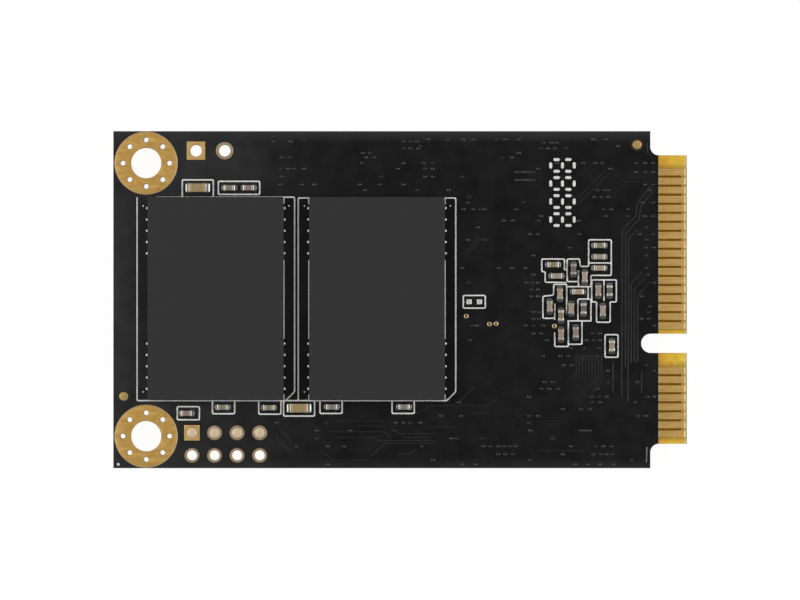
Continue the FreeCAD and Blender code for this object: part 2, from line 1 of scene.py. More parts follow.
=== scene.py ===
import bmesh
import bpy
import numpy as np
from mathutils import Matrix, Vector


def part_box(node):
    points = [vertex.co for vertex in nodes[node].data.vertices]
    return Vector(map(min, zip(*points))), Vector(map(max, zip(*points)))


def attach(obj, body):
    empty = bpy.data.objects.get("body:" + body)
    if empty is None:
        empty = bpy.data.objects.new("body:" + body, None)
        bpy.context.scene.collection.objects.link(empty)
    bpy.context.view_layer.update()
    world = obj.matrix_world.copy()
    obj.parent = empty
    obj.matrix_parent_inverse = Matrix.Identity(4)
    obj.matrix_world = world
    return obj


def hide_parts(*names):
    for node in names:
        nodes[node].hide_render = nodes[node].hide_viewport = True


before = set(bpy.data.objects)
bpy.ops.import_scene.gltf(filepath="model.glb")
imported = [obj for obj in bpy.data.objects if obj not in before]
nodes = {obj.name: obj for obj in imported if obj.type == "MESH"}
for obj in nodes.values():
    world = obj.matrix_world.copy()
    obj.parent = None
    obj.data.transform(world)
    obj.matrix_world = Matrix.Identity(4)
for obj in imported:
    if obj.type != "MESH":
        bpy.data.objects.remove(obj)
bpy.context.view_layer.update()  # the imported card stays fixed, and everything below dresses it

mm = 0.001
fullTurn = 2 * np.pi


def nodeBox(name):  # a node's lowest and highest corner, in mm
    low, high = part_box(name)
    return np.array(low) / mm, np.array(high) / mm


def footprint(name):  # a node's middle in plan, its size in plan, and its height
    low, high = nodeBox(name)
    return (low + high)[:2] / 2, (high - low)[:2], high[2] - low[2]


boardLow, boardHigh = nodeBox("circuit_board")
boardThick = boardHigh[2] - boardLow[2]
boardSides = {"top": (boardHigh[2], 1), "under": (boardLow[2], -1)}  # level of the face, way out of it
contactStart, contactEnd = (corner[0] for corner in nodeBox("edge_contacts_top"))
print("frame loaded:", len(nodes), "nodes")

picture = {  # mm
    "width": 70.86,            # what the picture takes in at the board's face
    "lensHeight": 500.0,       # a long lens, so that the card shows almost no perspective
    "sensor": 36.0,
    "middle": (-0.01, -0.03),
    "clip": (10.0, 20000.0),
}


def addCamera():
    data = bpy.data.cameras.new("top_camera")
    data.sensor_width = picture["sensor"]
    data.lens = picture["sensor"] * picture["lensHeight"] / picture["width"]
    data.clip_start, data.clip_end = (distance * mm for distance in picture["clip"])
    camera = bpy.data.objects.new("top_camera", data)
    x, y = picture["middle"]
    camera.location = (x * mm, y * mm, (boardHigh[2] + picture["lensHeight"]) * mm)
    bpy.context.scene.collection.objects.link(camera)
    bpy.context.scene.camera = camera


def toLinear(hexColour):  # sRGB to linear light: a straight line near black, a power of 2.4 above it
    channels = np.array([int(hexColour[i:i + 2], 16) for i in (1, 3, 5)]) / 255
    linear = np.where(channels <= 0.04045, channels / 12.92, ((channels + 0.055) / 1.055) ** 2.4)
    return (*linear.tolist(), 1.0)


def addNode(tree, kind, inputs=None, stops=(), **settings):  # a ramp's stops are (place, hex colour)
    node = tree.nodes.new(kind)
    for name, value in settings.items():
        setattr(node, name, value)
    for socket, value in (inputs or {}).items():
        if isinstance(value, bpy.types.NodeSocket):
            tree.links.new(value, node.inputs[socket])
        else:
            node.inputs[socket].default_value = value
    if stops:
        elements = node.color_ramp.elements
        while len(elements) < len(stops):
            elements.new(0.5)
        for element, (place, colour) in zip(elements, stops):
            element.position, element.color = place, toLinear(colour)
    return node


studio = {
    "floorDrop": 0.02,         # mm below the lowest part
    "floorHalf": 4.0,          # m
    "floorPaper": "#f2f2f2",
    "floorGlow": 0.93,         # share of the floor that stays white in the object's shadow
    "floorStrength": 1.03,
    "worldStrength": 0.88,
    # the light tent's tone from straight down to straight up: dark foot, white walls, dark port at the lens
    "tent": [(0.0, "#bcbcbc"), (0.48, "#bcbcbc"), (0.55, "#6e6e6e"), (0.68, "#f4f4f4"), (0.80, "#e8e8e8"),
             (0.93, "#8c8c8c"), (1.0, "#6a6a6a")],
    # the tent is lit from the left and the right, and dim before and behind the card
    "aside": {"From Max": 0.7, "To Min": 0.45, "To Max": 1.15},
    "ahead": {"From Min": 0.2, "From Max": 0.6, "To Min": 1.0, "To Max": 0.3},
    # name, place (m), width and height (m), watts
    "lamps": [
        ("right_lamp", (0.52, 0.04, 0.44), (0.30, 0.40), 2.2),
        ("left_lamp", (-0.52, 0.04, 0.44), (0.30, 0.40), 2.0),
        ("back_lamp", (0.0, 0.50, 0.46), (0.50, 0.30), 0.2),
    ],
}


def addFloor():
    half, level = studio["floorHalf"], -studio["floorDrop"] * mm
    mesh = bpy.data.meshes.new("floor")
    mesh.from_pydata([(-half, -half, level), (half, -half, level), (half, half, level), (-half, half, level)],
                     [], [(0, 1, 2, 3)])
    material = bpy.data.materials.new("white_paper_sweep")
    material.use_nodes = True
    tree = material.node_tree
    tree.nodes.clear()
    paper = addNode(tree, "ShaderNodeBsdfDiffuse", {"Color": toLinear(studio["floorPaper"])}).outputs[0]
    glow = addNode(tree, "ShaderNodeEmission",
                   {"Color": toLinear("#ffffff"), "Strength": studio["floorStrength"]})
    seen = addNode(tree, "ShaderNodeMixShader", {0: studio["floorGlow"], 1: paper, 2: glow.outputs[0]})
    path = addNode(tree, "ShaderNodeLightPath").outputs
    looks = addNode(tree, "ShaderNodeMath", {0: path["Is Camera Ray"], 1: path["Is Glossy Ray"]},
                    operation="MAXIMUM")
    looks = addNode(tree, "ShaderNodeMath", {0: looks.outputs[0], 1: path["Is Transmission Ray"]},
                    operation="MAXIMUM")
    front = addNode(tree, "ShaderNodeMixShader", {0: looks.outputs[0], 1: paper, 2: seen.outputs[0]})
    behind = addNode(tree, "ShaderNodeNewGeometry")
    clear = addNode(tree, "ShaderNodeBsdfTransparent")  # from below the floor is not there
    floor = addNode(tree, "ShaderNodeMixShader",
                    {0: behind.outputs["Backfacing"], 1: front.outputs[0], 2: clear.outputs[0]})
    addNode(tree, "ShaderNodeOutputMaterial", {"Surface": floor.outputs[0]})
    mesh.materials.append(material)
    piece = bpy.data.objects.new("floor", mesh)
    piece.visible_shadow = piece.visible_diffuse = False  # light also reaches the card's lower face
    bpy.context.scene.collection.objects.link(piece)


def addLight():
    world = bpy.data.worlds.new("light_tent")
    bpy.context.scene.world = world
    world.use_nodes = True
    tree = world.node_tree
    direction = addNode(tree, "ShaderNodeTexCoord").outputs["Generated"]
    parts = addNode(tree, "ShaderNodeSeparateXYZ", {0: direction}).outputs
    share = addNode(tree, "ShaderNodeMapRange", {"Value": parts["Z"], "From Min": -1.0, "From Max": 1.0})
    tent = addNode(tree, "ShaderNodeValToRGB", {"Fac": share.outputs[0]}, studio["tent"])
    aside = addNode(tree, "ShaderNodeMath", {0: parts["X"]}, operation="ABSOLUTE").outputs[0]
    walls = addNode(tree, "ShaderNodeMapRange", {"Value": aside, **studio["aside"]})
    ahead = addNode(tree, "ShaderNodeMath", {0: parts["Y"]}, operation="ABSOLUTE").outputs[0]
    ends = addNode(tree, "ShaderNodeMapRange", {"Value": ahead, **studio["ahead"]})
    sides = addNode(tree, "ShaderNodeMath", {0: walls.outputs[0], 1: ends.outputs[0]}, operation="MULTIPLY")
    lit = addNode(tree, "ShaderNodeMix", {0: 1.0, 6: tent.outputs["Color"], 7: sides.outputs[0]},
                  data_type="RGBA", blend_type="MULTIPLY").outputs[2]
    seen = addNode(tree, "ShaderNodeLightPath").outputs["Is Camera Ray"]  # the camera itself sees plain white
    light = addNode(tree, "ShaderNodeBackground", {"Color": lit, "Strength": studio["worldStrength"]})
    white = addNode(tree, "ShaderNodeBackground", {"Color": toLinear("#ffffff"), "Strength": 1.0})
    sky = addNode(tree, "ShaderNodeMixShader", {0: seen, 1: light.outputs[0], 2: white.outputs[0]})
    tree.links.new(sky.outputs[0], tree.nodes["World Output"].inputs["Surface"])
    for name, place, (width, depth), watts in studio["lamps"]:
        data = bpy.data.lights.new(name, "AREA")
        data.shape, data.size, data.size_y, data.energy = "RECTANGLE", width, depth, watts
        lamp = bpy.data.objects.new(name, data)
        lamp.location = place
        aim = -np.array(place) / np.linalg.norm(place)
        lamp.rotation_mode = "QUATERNION"
        lamp.rotation_quaternion = Vector(aim).to_track_quat("-Z", "Y")
        lamp.visible_camera = False
        bpy.context.scene.collection.objects.link(lamp)


addCamera()
addFloor()
addLight()
bpy.context.scene.view_settings.view_transform = "Standard"
print("camera, floor and light set")

even = (1.0, 1.0, 1.0)         # a pattern that is not drawn out
noiseRange = (0.3, 0.7)        # most values of a noise field lie between these


def newMaterial(name, colour, roughness, metallic=0.0, **sockets):
    material = bpy.data.materials.new(name)
    material.use_nodes = True
    tree = material.node_tree
    shader = tree.nodes["Principled BSDF"]
    values = {"Base Color": toLinear(colour), "Roughness": roughness, "Metallic": metallic, **sockets}
    for socket, value in values.items():
        shader.inputs[socket].default_value = value
    return material, tree, shader


def noiseField(tree, sizeMm, stretch=even, detail=3.0):  # patches about sizeMm across, drawn out by stretch
    place = addNode(tree, "ShaderNodeTexCoord").outputs["Object"]
    scale = [1 / (sizeMm * mm * length) for length in stretch]
    place = addNode(tree, "ShaderNodeMapping", {"Vector": place, "Scale": scale}).outputs[0]
    noise = addNode(tree, "ShaderNodeTexNoise", {"Vector": place, "Scale": 1.0, "Detail": detail})
    return noise.outputs["Fac"]


def mottle(tree, shader, stops, sizeMm, stretch=even, detail=3.0):  # colour that wanders between stops
    field = noiseField(tree, sizeMm, stretch, detail)
    ramp = addNode(tree, "ShaderNodeValToRGB", {"Fac": field}, stops)
    tree.links.new(ramp.outputs["Color"], shader.inputs["Base Color"])


def grain(tree, shader, sizeMm, depthMm, stretch=even, detail=2.0):  # fine relief
    field = noiseField(tree, sizeMm, stretch, detail)
    bump = addNode(tree, "ShaderNodeBump", {"Height": field, "Distance": depthMm * mm, "Strength": 1.0})
    tree.links.new(bump.outputs[0], shader.inputs["Normal"])


def patchySheen(tree, shader, low, high, sizeMm, stretch=even):  # roughness that wanders from low to high
    field = noiseField(tree, sizeMm, stretch)
    sheen = addNode(tree, "ShaderNodeMapRange", {"Value": field, "From Min": noiseRange[0],
                                                 "From Max": noiseRange[1], "To Min": low, "To Max": high})
    tree.links.new(sheen.outputs[0], shader.inputs["Roughness"])


def shadeAlong(tree, shader, span, stops, field, darkest):
    # colour that changes along X over a span in mm, darkened in patches by a noise field
    place = addNode(tree, "ShaderNodeTexCoord").outputs["Object"]
    along = addNode(tree, "ShaderNodeSeparateXYZ", {0: place}).outputs["X"]
    share = addNode(tree, "ShaderNodeMapRange",
                    {"Value": along, "From Min": span[0] * mm, "From Max": span[1] * mm})
    colour = addNode(tree, "ShaderNodeValToRGB", {"Fac": share.outputs[0]}, stops).outputs["Color"]
    shade = addNode(tree, "ShaderNodeValToRGB", {"Fac": field},
                    [(noiseRange[0], darkest), (noiseRange[1], "#ffffff")]).outputs["Color"]
    mixed = addNode(tree, "ShaderNodeMix", {0: 1.0, 6: colour, 7: shade}, data_type="RGBA",
                    blend_type="MULTIPLY").outputs[2]
    tree.links.new(mixed, shader.inputs["Base Color"])
    return mixed


coat = {  # mm
    "darkens": (-22.0, -5.0),  # from left to right between these, as the copper below ends
    "patch": 3.5, "patchShade": "#b0b0b0", "peel": 0.18, "peelDeep": 0.0015, "sheenPatch": 1.5,
    # the coat greys towards each long edge, from this far in, and is greyest at fadeEnd
    "upperFade": 1.025, "lowerFade": 0.825, "fadeEnd": 0.025,
    "lowerShare": 0.5,         # the lower edge greys half as much
}


def maskMaterial(name, stops, border, sheen, ior=1.40):
    # black photo-imaged solder mask, curtain coated: satin, with a faint orange peel; greyer over the copper
    # at the left and along the card's long edges, where the coat runs thin
    material, tree, shader = newMaterial(name, stops[-1][1], sheen[0], IOR=ior)
    field = noiseField(tree, coat["patch"], detail=5.0)
    base = shadeAlong(tree, shader, coat["darkens"], stops, field, coat["patchShade"])
    place = addNode(tree, "ShaderNodeTexCoord").outputs["Object"]
    across = addNode(tree, "ShaderNodeSeparateXYZ", {0: place}).outputs["Y"]
    upper = addNode(tree, "ShaderNodeMapRange", {
        "Value": across, "From Min": (boardHigh[1] - coat["upperFade"]) * mm,
        "From Max": (boardHigh[1] - coat["fadeEnd"]) * mm})
    lower = addNode(tree, "ShaderNodeMapRange", {
        "Value": across, "From Min": (boardLow[1] + coat["lowerFade"]) * mm,
        "From Max": (boardLow[1] + coat["fadeEnd"]) * mm, "To Max": coat["lowerShare"]})
    thin = addNode(tree, "ShaderNodeMath", {0: upper.outputs[0], 1: lower.outputs[0]}, operation="MAXIMUM")
    mixed = addNode(tree, "ShaderNodeMix", {0: thin.outputs[0], 6: base, 7: toLinear(border)},
                    data_type="RGBA")
    tree.links.new(mixed.outputs[2], shader.inputs["Base Color"])
    grain(tree, shader, coat["peel"], coat["peelDeep"])
    patchySheen(tree, shader, *sheen, coat["sheenPatch"])
    return material


tab = {  # mm
    # colours of the cut laminate over its last stretch before the tip; from 0.94 on, over the bevel, it is a
    # little darker, and darkest at the very edge: painted shade
    "stretch": 4.4,
    "colours": [(0.0, "#b08e50"), (0.38, "#dea636"), (0.65, "#f0c036"), (0.93, "#f8d240"), (0.94, "#e9c438"),
                (0.984, "#e9c438"), (0.991, "#a88428")],
    # on the tab, which begins between these distances from the tip, it is darker beside the two banks of
    # contacts: Y and shade
    "begins": (2.8, 2.5), "reach": 13.0,
    "banks": [(-12.6, "#ffffff"), (-12.2, "#bcbac0"), (-6.0, "#bcbac0"), (-5.4, "#ffffff"),
              (-2.95, "#ffffff"), (-2.6, "#bcbac0"), (11.6, "#bcbac0"), (12.2, "#ffffff")],
}


def laminateMaterial():
    # glass-cloth epoxy laminate, routed: golden, browner towards the card, and the cloth's weave just shows
    material, tree, shader = newMaterial("glass_epoxy_laminate_routed", "#e0b43c", 0.45, IOR=1.55)
    cloth = noiseField(tree, sizeMm=0.5, stretch=(1.0, 1.0, 0.12), detail=4.0)
    tip, reach = boardHigh[0], tab["reach"]
    lit = shadeAlong(tree, shader, (tip - tab["stretch"], tip), tab["colours"], cloth, "#e6dfd2")
    place = addNode(tree, "ShaderNodeTexCoord").outputs["Object"]
    parts = addNode(tree, "ShaderNodeSeparateXYZ", {0: place}).outputs
    onTab = addNode(tree, "ShaderNodeMapRange", {
        "Value": parts["X"], "From Min": (tip - tab["begins"][0]) * mm,
        "From Max": (tip - tab["begins"][1]) * mm})
    share = addNode(tree, "ShaderNodeMapRange",
                    {"Value": parts["Y"], "From Min": -reach * mm, "From Max": reach * mm})
    shade = addNode(tree, "ShaderNodeValToRGB", {"Fac": share.outputs[0]},
                    [(0.5 + y / (2 * reach), colour) for y, colour in tab["banks"]])
    mixed = addNode(tree, "ShaderNodeMix", {0: onTab.outputs[0], 6: lit, 7: shade.outputs["Color"]},
                    data_type="RGBA", blend_type="MULTIPLY")
    tree.links.new(mixed.outputs[2], shader.inputs["Base Color"])
    grain(tree, shader, sizeMm=0.25, depthMm=0.004, stretch=(1.0, 1.0, 0.3))
    return material


def goldMaterial(name, dark, pale, roughness):
    # immersion gold over nickel on copper: warm and half matt, with faint patches
    material, tree, shader = newMaterial(name, dark, roughness, metallic=1.0)
    mottle(tree, shader, [(0.35, dark), (0.65, pale)], sizeMm=0.5, detail=4.0)
    grain(tree, shader, sizeMm=0.12, depthMm=0.0012)
    return material


def fingerMaterial():
    # hard gold, burnished along the finger: greyer where the mask was peeled back, redder before the bend,
    # and darkest at its very end, which is painted shade
    material, tree, shader = newMaterial("hard_gold_burnished", "#e6c07a", 0.60, metallic=1.0)
    rubbed = noiseField(tree, sizeMm=0.10, stretch=(14.0, 1.0, 1.0), detail=3.0)
    # the last stop darkens the finger's very end: painted shade
    colours = [(0.0, "#d0c294"), (0.11, "#dab66a"), (0.65, "#e0bc78"), (0.91, "#e3b574"), (0.93, "#d0bc7e"),
               (0.98, "#d0bc7e"), (0.988, "#a8843c")]
    shadeAlong(tree, shader, (contactStart, contactEnd), colours, rubbed, "#ebe7df")
    patchySheen(tree, shader, 0.56, 0.66, sizeMm=0.3, stretch=(6.0, 1.0, 1.0))
    grain(tree, shader, sizeMm=0.10, depthMm=0.0004, stretch=(12.0, 1.0, 1.0))
    return material


def tinMaterial(name, colour, low, high, metallic=1.0):
    # tin: plated ends are whitish and satin; solder is uneven, and flux left on it dulls the metal
    material, tree, shader = newMaterial(name, colour, low, metallic)
    patchySheen(tree, shader, low, high, sizeMm=0.12)
    grain(tree, shader, sizeMm=0.08, depthMm=0.0015)
    return material


def ceramicMaterial(name, dark, pale):
    # fired chip ceramic: dense and faintly waxy, with fine specks
    material, tree, shader = newMaterial(name, dark, 0.38, IOR=1.6)
    mottle(tree, shader, [(0.3, dark), (0.7, pale)], sizeMm=0.09, detail=5.0)
    grain(tree, shader, sizeMm=0.05, depthMm=0.001)
    return material


def epoxyMaterial(name, dark, pale, roughness, ior=1.5):
    # filled epoxy, transfer moulded: matt, with a fine even tooth from the mould
    material, tree, shader = newMaterial(name, dark, roughness, IOR=ior)
    mottle(tree, shader, [(0.35, dark), (0.65, pale)], sizeMm=0.12, detail=6.0)
    grain(tree, shader, sizeMm=0.06, depthMm=0.0012)
    return material


def inkMaterial():
    # white epoxy legend ink, screen printed: chalky, thinner in places so that it greys
    material, tree, shader = newMaterial("legend_ink_screen_printed", "#e6e6e4", 0.6, IOR=1.5)
    mottle(tree, shader, [(0.3, "#d2d2d0"), (0.65, "#f0f0ee")], sizeMm=0.3, detail=4.0)
    grain(tree, shader, sizeMm=0.06, depthMm=0.002)
    return material


satin = (0.36, 0.48)           # roughness of the mask, lowest and highest
bareMask = maskMaterial("solder_mask_on_laminate", [(0.0, "#303030"), (0.5, "#282828"), (0.75, "#171717"),
                                                    (1.0, "#0d0d0d")], "#2e2e2e", satin)
copperMask = maskMaterial("solder_mask_on_copper", [(0.0, "#383838"), (0.6, "#303030"), (1.0, "#282828")],
                          "#383838", satin)
deepMask = maskMaterial("solder_mask_on_deep_copper", [(0.0, "#303030"), (0.6, "#242424"), (1.0, "#181818")],
                        "#303030", satin)
viaMask = maskMaterial("solder_mask_over_vias", [(0.0, "#303030"), (1.0, "#202020")], "#303030",
                       sheen=(0.25, 0.35), ior=1.45)
# pale grey mask for a thin light line at the lower shoulder: a painted highlight, the glint of the board's
# edge
shoulderGlintMask = epoxyMaterial("solder_mask_painted_glint", "#505050", "#9a9a9a", 0.6)
laminate = laminateMaterial()
# dark brown laminate: painted shade, in the narrow gaps between fingers and in the bores of the open vias
shadedLaminate = epoxyMaterial("glass_epoxy_laminate_painted_shade", "#684606", "#7c5408", 0.5, ior=1.25)
immersionGold = goldMaterial("immersion_gold_lands", "#e4b560", "#f0c574", 0.52)
hardGold = fingerMaterial()
ringGold = goldMaterial("immersion_gold_small_rings", "#e6bd76", "#f0cb8a", 0.55)
pinGold = goldMaterial("immersion_gold_thin_rings", "#bea682", "#c6b298", 0.55)
markGold = goldMaterial("immersion_gold_marks", "#d2b370", "#ddc287", 0.52)
# paler gold: painted highlight on the screw lands' rims and the open vias' rings
rimHighlightGold = goldMaterial("immersion_gold_rim_painted_highlight", "#eed6ac", "#f4e0bc", 0.45)
solderTin = tinMaterial("solder_reflowed", "#767671", 0.34, 0.48, metallic=0.5)
plateTin = tinMaterial("tin_plated_ends", "#ccc6ba", 0.40, 0.54)
# a paler copy of the plated ends, for a few parts: painted highlight
highlightTin = tinMaterial("tin_plated_ends_painted_highlight", "#f0eadc", 0.40, 0.54)
wideTin = tinMaterial("tin_plated_wide_ends", "#cbbc9c", 0.36, 0.46, metallic=0.6)
wideSolder = tinMaterial("solder_reflowed_bright", "#b4b4b0", 0.34, 0.46)
padTin = tinMaterial("tin_levelled_pads", "#f4f3f0", 0.45, 0.60)
plugTin = tinMaterial("solder_plug_under_flux", "#f0d8b8", 0.45, 0.60, metallic=0.55)
markSurround = epoxyMaterial("laminate_through_thin_mask", "#1a120a", "#241a0e", 0.5)
ink = inkMaterial()
flashEpoxy = epoxyMaterial("flash_epoxy_moulded", "#202020", "#232323", 0.62)
chipEpoxy = epoxyMaterial("controller_epoxy_moulded", "#2c2c2d", "#333334", 0.65)
packageLaminate = epoxyMaterial("package_laminate_sawn", "#262f1e", "#35422b", 0.5)
regulatorEpoxy = epoxyMaterial("regulator_epoxy_moulded", "#343435", "#3c3c3d", 0.65)
ferrite = epoxyMaterial("inductor_ferrite_pressed", "#848484", "#969694", 0.7)
tanCeramic = ceramicMaterial("capacitor_ceramic_tan", "#998772", "#b1a08c")
oliveCeramic = ceramicMaterial("capacitor_ceramic_olive", "#7e775d", "#928b77")
mauveCeramic = ceramicMaterial("capacitor_ceramic_mauve", "#675c5a", "#776e6c")
pinkCeramic = ceramicMaterial("capacitor_ceramic_pink", "#a28c7c", "#b8a496")
greyCeramic = ceramicMaterial("capacitor_ceramic_grey", "#7f7369", "#958a82")
bulkCeramic = ceramicMaterial("capacitor_ceramic_large", "#94815a", "#a9966c")
resistorGlaze = ceramicMaterial("resistor_glaze_grey", "#5f5f57", "#6f6f67")
alumina = ceramicMaterial("crystal_base_ceramic", "#5a5148", "#6a6158")
lidNickel = tinMaterial("crystal_lid_nickel", "#cfcbc0", 0.30, 0.42)
print("materials made:", len(bpy.data.materials))


def gridQuads(rows, columns, wrapRows=False):  # quads between neighbours of a grid of closed rings
    r, c = np.meshgrid(np.arange(rows if wrapRows else rows - 1), np.arange(columns), indexing="ij")
    nextR, nextC = (r + 1) % rows, (c + 1) % columns
    corners = [r * columns + c, r * columns + nextC, nextR * columns + nextC, nextR * columns + c]
    return np.stack(corners, axis=-1).reshape(-1, 4).tolist()


def loft(rings):  # rings of points joined in order, with a flat face over the first and the last
    count, around = rings.shape[:2]
    ends = [list(range(around)), list(range((count - 1) * around, count * around))]
    return rings.reshape(-1, 3), gridQuads(count, around) + ends


def hoop(rings):  # rings joined in order and back to the first
    return rings.reshape(-1, 3), gridQuads(*rings.shape[:2], wrapRows=True)


def turned(profile, centre, sides, closed=False):  # (radius, height) carried round an upright axis
    turn = np.arange(sides) / sides * fullTurn
    radius, height = np.asarray(profile, float).T[:, :, None]
    rings = np.stack([centre[0] + radius * np.cos(turn), centre[1] + radius * np.sin(turn),
                      np.broadcast_to(height, (len(radius), sides))], axis=-1)
    return hoop(rings) if closed else loft(rings)


# a bead's section, as shares of its width and height
beadSection = np.array([(-0.5, 0.0), (-0.46, 0.65), (-0.36, 1.0), (0.36, 1.0), (0.46, 0.65), (0.5, 0.0)])


def ribbon(path, width, low, high, closed=False):
    # a low bead along a path in plan; at a corner its section lies on the bisector, and is wider by
    # 1 / cos(half the turn)
    path = np.asarray(path, float)
    ahead = np.roll(path, -1, axis=0) - path
    if not closed:
        ahead[-1] = ahead[-2]
    ahead /= np.linalg.norm(ahead, axis=1, keepdims=True)
    behind = np.roll(ahead, 1, axis=0)
    if not closed:
        behind[0] = ahead[0]
    across = np.stack([-(ahead + behind)[:, 1], (ahead + behind)[:, 0]], axis=1)
    across /= 1 + np.sum(ahead * behind, axis=1, keepdims=True)
    offset, rise = beadSection.T
    plan = path[:, None, :] + across[:, None, :] * (offset * width)[None, :, None]
    height = np.broadcast_to(low + rise * (high - low), plan.shape[:2])
    rings = np.concatenate([plan, height[..., None]], axis=-1)
    return hoop(rings) if closed else loft(rings)


def evenTurns(count):  # angles round a full turn that miss the axes, so that corners get equal shares
    return (np.arange(count) + 0.5) / count * fullTurn


def stadium(length, width, count=20):  # straight sides with half-round ends
    turn = evenTurns(count)
    radius = min(length, width) / 2
    return np.stack([np.cos(turn) * radius + np.sign(np.cos(turn)) * (length / 2 - radius),
                     np.sin(turn) * radius + np.sign(np.sin(turn)) * (width / 2 - radius)], axis=1)


dabSteps = [(0.0, 0.0), (0.02, 0.7), (0.06, 1.0)]  # how much narrower (mm), at what share of the height


def dab(centre, length, width, low, high):  # a stadium drawn in towards its top, like a drop of ink
    rings = []
    for inset, rise in dabSteps:
        plan = np.asarray(centre) + stadium(length - inset, width - inset)
        rings.append(np.column_stack([plan, np.full(len(plan), low + rise * (high - low))]))
    return loft(np.array(rings))


def roundedBar(stations, corner, around=24):
    # rounded rectangles along X: each station is x, half width, lowest and highest z
    turn = evenTurns(around)
    x, half, low, high = np.asarray(stations, float).T[:, :, None]
    rise = (high - low) / 2
    radius = np.minimum(corner, 0.9 * np.minimum(half, rise))  # leaves each side a tenth straight
    y = np.sign(np.cos(turn)) * (half - radius) + np.cos(turn) * radius
    z = (low + high) / 2 + np.sign(np.sin(turn)) * (rise - radius) + np.sin(turn) * radius
    return loft(np.stack([np.broadcast_to(x, y.shape), y, z], axis=-1))


def solderFoot(stations, roll, across=13):
    # sections along X, each with x, half width and height: the height falls with a power, the roll, of the
    # share of the half width, so the sides roll down to the land
    share = np.sin(np.linspace(-np.pi / 2, np.pi / 2, across))
    x, half, high = np.asarray(stations, float).T[:, :, None]
    y, z = half * share, high * (1 - share ** roll)
    return loft(np.stack([np.broadcast_to(x, y.shape), y, z], axis=-1))


def plinth(centre, size, low, high, corner, edge, around=40, level=0.02, tightest=0.01):
    # stacked rounded rectangles, drawn in round the upper edge by a quarter circle; the last two lie level,
    # so that the top shades flat
    turn = evenTurns(around)
    roll = np.linspace(0, np.pi / 2, 5)
    inset = np.concatenate([[0.0], edge * (1 - np.cos(roll)), [edge + level]])[:, None]
    height = np.concatenate([[low], high - edge + edge * np.sin(roll), [high]])[:, None]
    radius = np.maximum(corner - inset, tightest)
    x = centre[0] + np.sign(np.cos(turn)) * (size[0] / 2 - inset - radius) + np.cos(turn) * radius
    y = centre[1] + np.sign(np.sin(turn)) * (size[1] / 2 - inset - radius) + np.sin(turn) * radius
    return loft(np.stack([x, y, np.broadcast_to(height, x.shape)], axis=-1))


def circle(centre, radius, count):  # points at equal turns round a centre
    turn = np.arange(count) / count * fullTurn
    return np.asarray(centre) + radius * np.column_stack([np.cos(turn), np.sin(turn)])


def frameRound(low, high, margin):  # corners of a frame round a box in plan, and that it is closed
    (x0, y0), (x1, y1) = low[:2] - margin, high[:2] + margin
    return [(x0, y0), (x1, y0), (x1, y1), (x0, y1)], True


def plate(loops, low, high, edge):  # the area between closed loops, given a thickness with rounded edges
    curve = bpy.data.curves.new("plate", "CURVE")
    curve.dimensions, curve.fill_mode = "2D", "BOTH"
    curve.extrude, curve.bevel_depth, curve.bevel_resolution = (high - low) / 2 - edge, edge, 2
    for loop in loops:
        spline = curve.splines.new("POLY")
        spline.points.add(len(loop) - 1)
        points = np.column_stack([loop, np.zeros(len(loop)), np.ones(len(loop))])
        spline.points.foreach_set("co", points.ravel())
        spline.use_cyclic_u = True
    holder = bpy.data.objects.new("plate", curve)
    bpy.context.scene.collection.objects.link(holder)
    mesh = bpy.data.meshes.new_from_object(holder.evaluated_get(bpy.context.evaluated_depsgraph_get()))
    work = bmesh.new()
    work.from_mesh(mesh)
    bmesh.ops.remove_doubles(work, verts=work.verts, dist=1e-5)  # joins the flat faces to the rounded edges
    work.to_mesh(mesh)
    work.free()
    points = np.empty(len(mesh.vertices) * 3)
    mesh.vertices.foreach_get("co", points)
    faces = [list(polygon.vertices) for polygon in mesh.polygons]
    bpy.data.objects.remove(holder)
    bpy.data.curves.remove(curve)
    bpy.data.meshes.remove(mesh)
    return points.reshape(-1, 3) + (0, 0, (low + high) / 2), faces


def seat(shell, side):  # heights above a face of the board become heights in the frame
    points, faces = shell
    level, way = boardSides[side]
    return np.column_stack([points[:, :2], level + way * points[:, 2]]), faces


def onFace(side, *groups):  # shapes seated on a face of the board, numbered for the material of their group
    return [(seat(shape, side), number) for number, group in enumerate(groups) for shape in group]


def setDown(shell, centre, along):  # a shape drawn along X about its middle, turned and moved in plan
    points, faces = shell
    plan = points[:, :2] if along == 0 else np.column_stack([-points[:, 1], points[:, 0]])
    return np.column_stack([plan + np.asarray(centre)[:2], points[:, 2]]), faces


def addMesh(name, mesh, materials, replaced, crease=38):
    # points each shell's faces outwards, keeps edges sharper than the crease (degrees) and hides the
    # nodes that the piece takes the place of
    work = bmesh.new()
    work.from_mesh(mesh)
    bmesh.ops.recalc_face_normals(work, faces=work.faces)
    work.to_mesh(mesh)
    work.free()
    mesh.shade_smooth()
    mesh.set_sharp_from_angle(angle=np.radians(crease))
    for material in materials:
        mesh.materials.append(material)
    piece = bpy.data.objects.new(name, mesh)
    bpy.context.scene.collection.objects.link(piece)
    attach(piece, "root")
    if replaced:
        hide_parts(*replaced)


def addPiece(name, shells, materials, replaced=(), crease=38):
    # shells are (points, faces), each with the number of its material
    points = np.concatenate([shell[0] for shell, _ in shells])
    starts = np.cumsum([0] + [len(shell[0]) for shell, _ in shells])
    faces = [[start + corner for corner in face]
             for (shell, _), start in zip(shells, starts) for face in shell[1]]
    mesh = bpy.data.meshes.new(name)
    mesh.from_pydata((points * mm).tolist(), [], faces)
    mesh.polygons.foreach_set("material_index", np.repeat([number for _, number in shells],
                                                          [len(shell[1]) for shell, _ in shells]))
    addMesh(name, mesh, materials, replaced, crease)


mask = {"thick": 0.022}  # mm; it stops where the contacts start


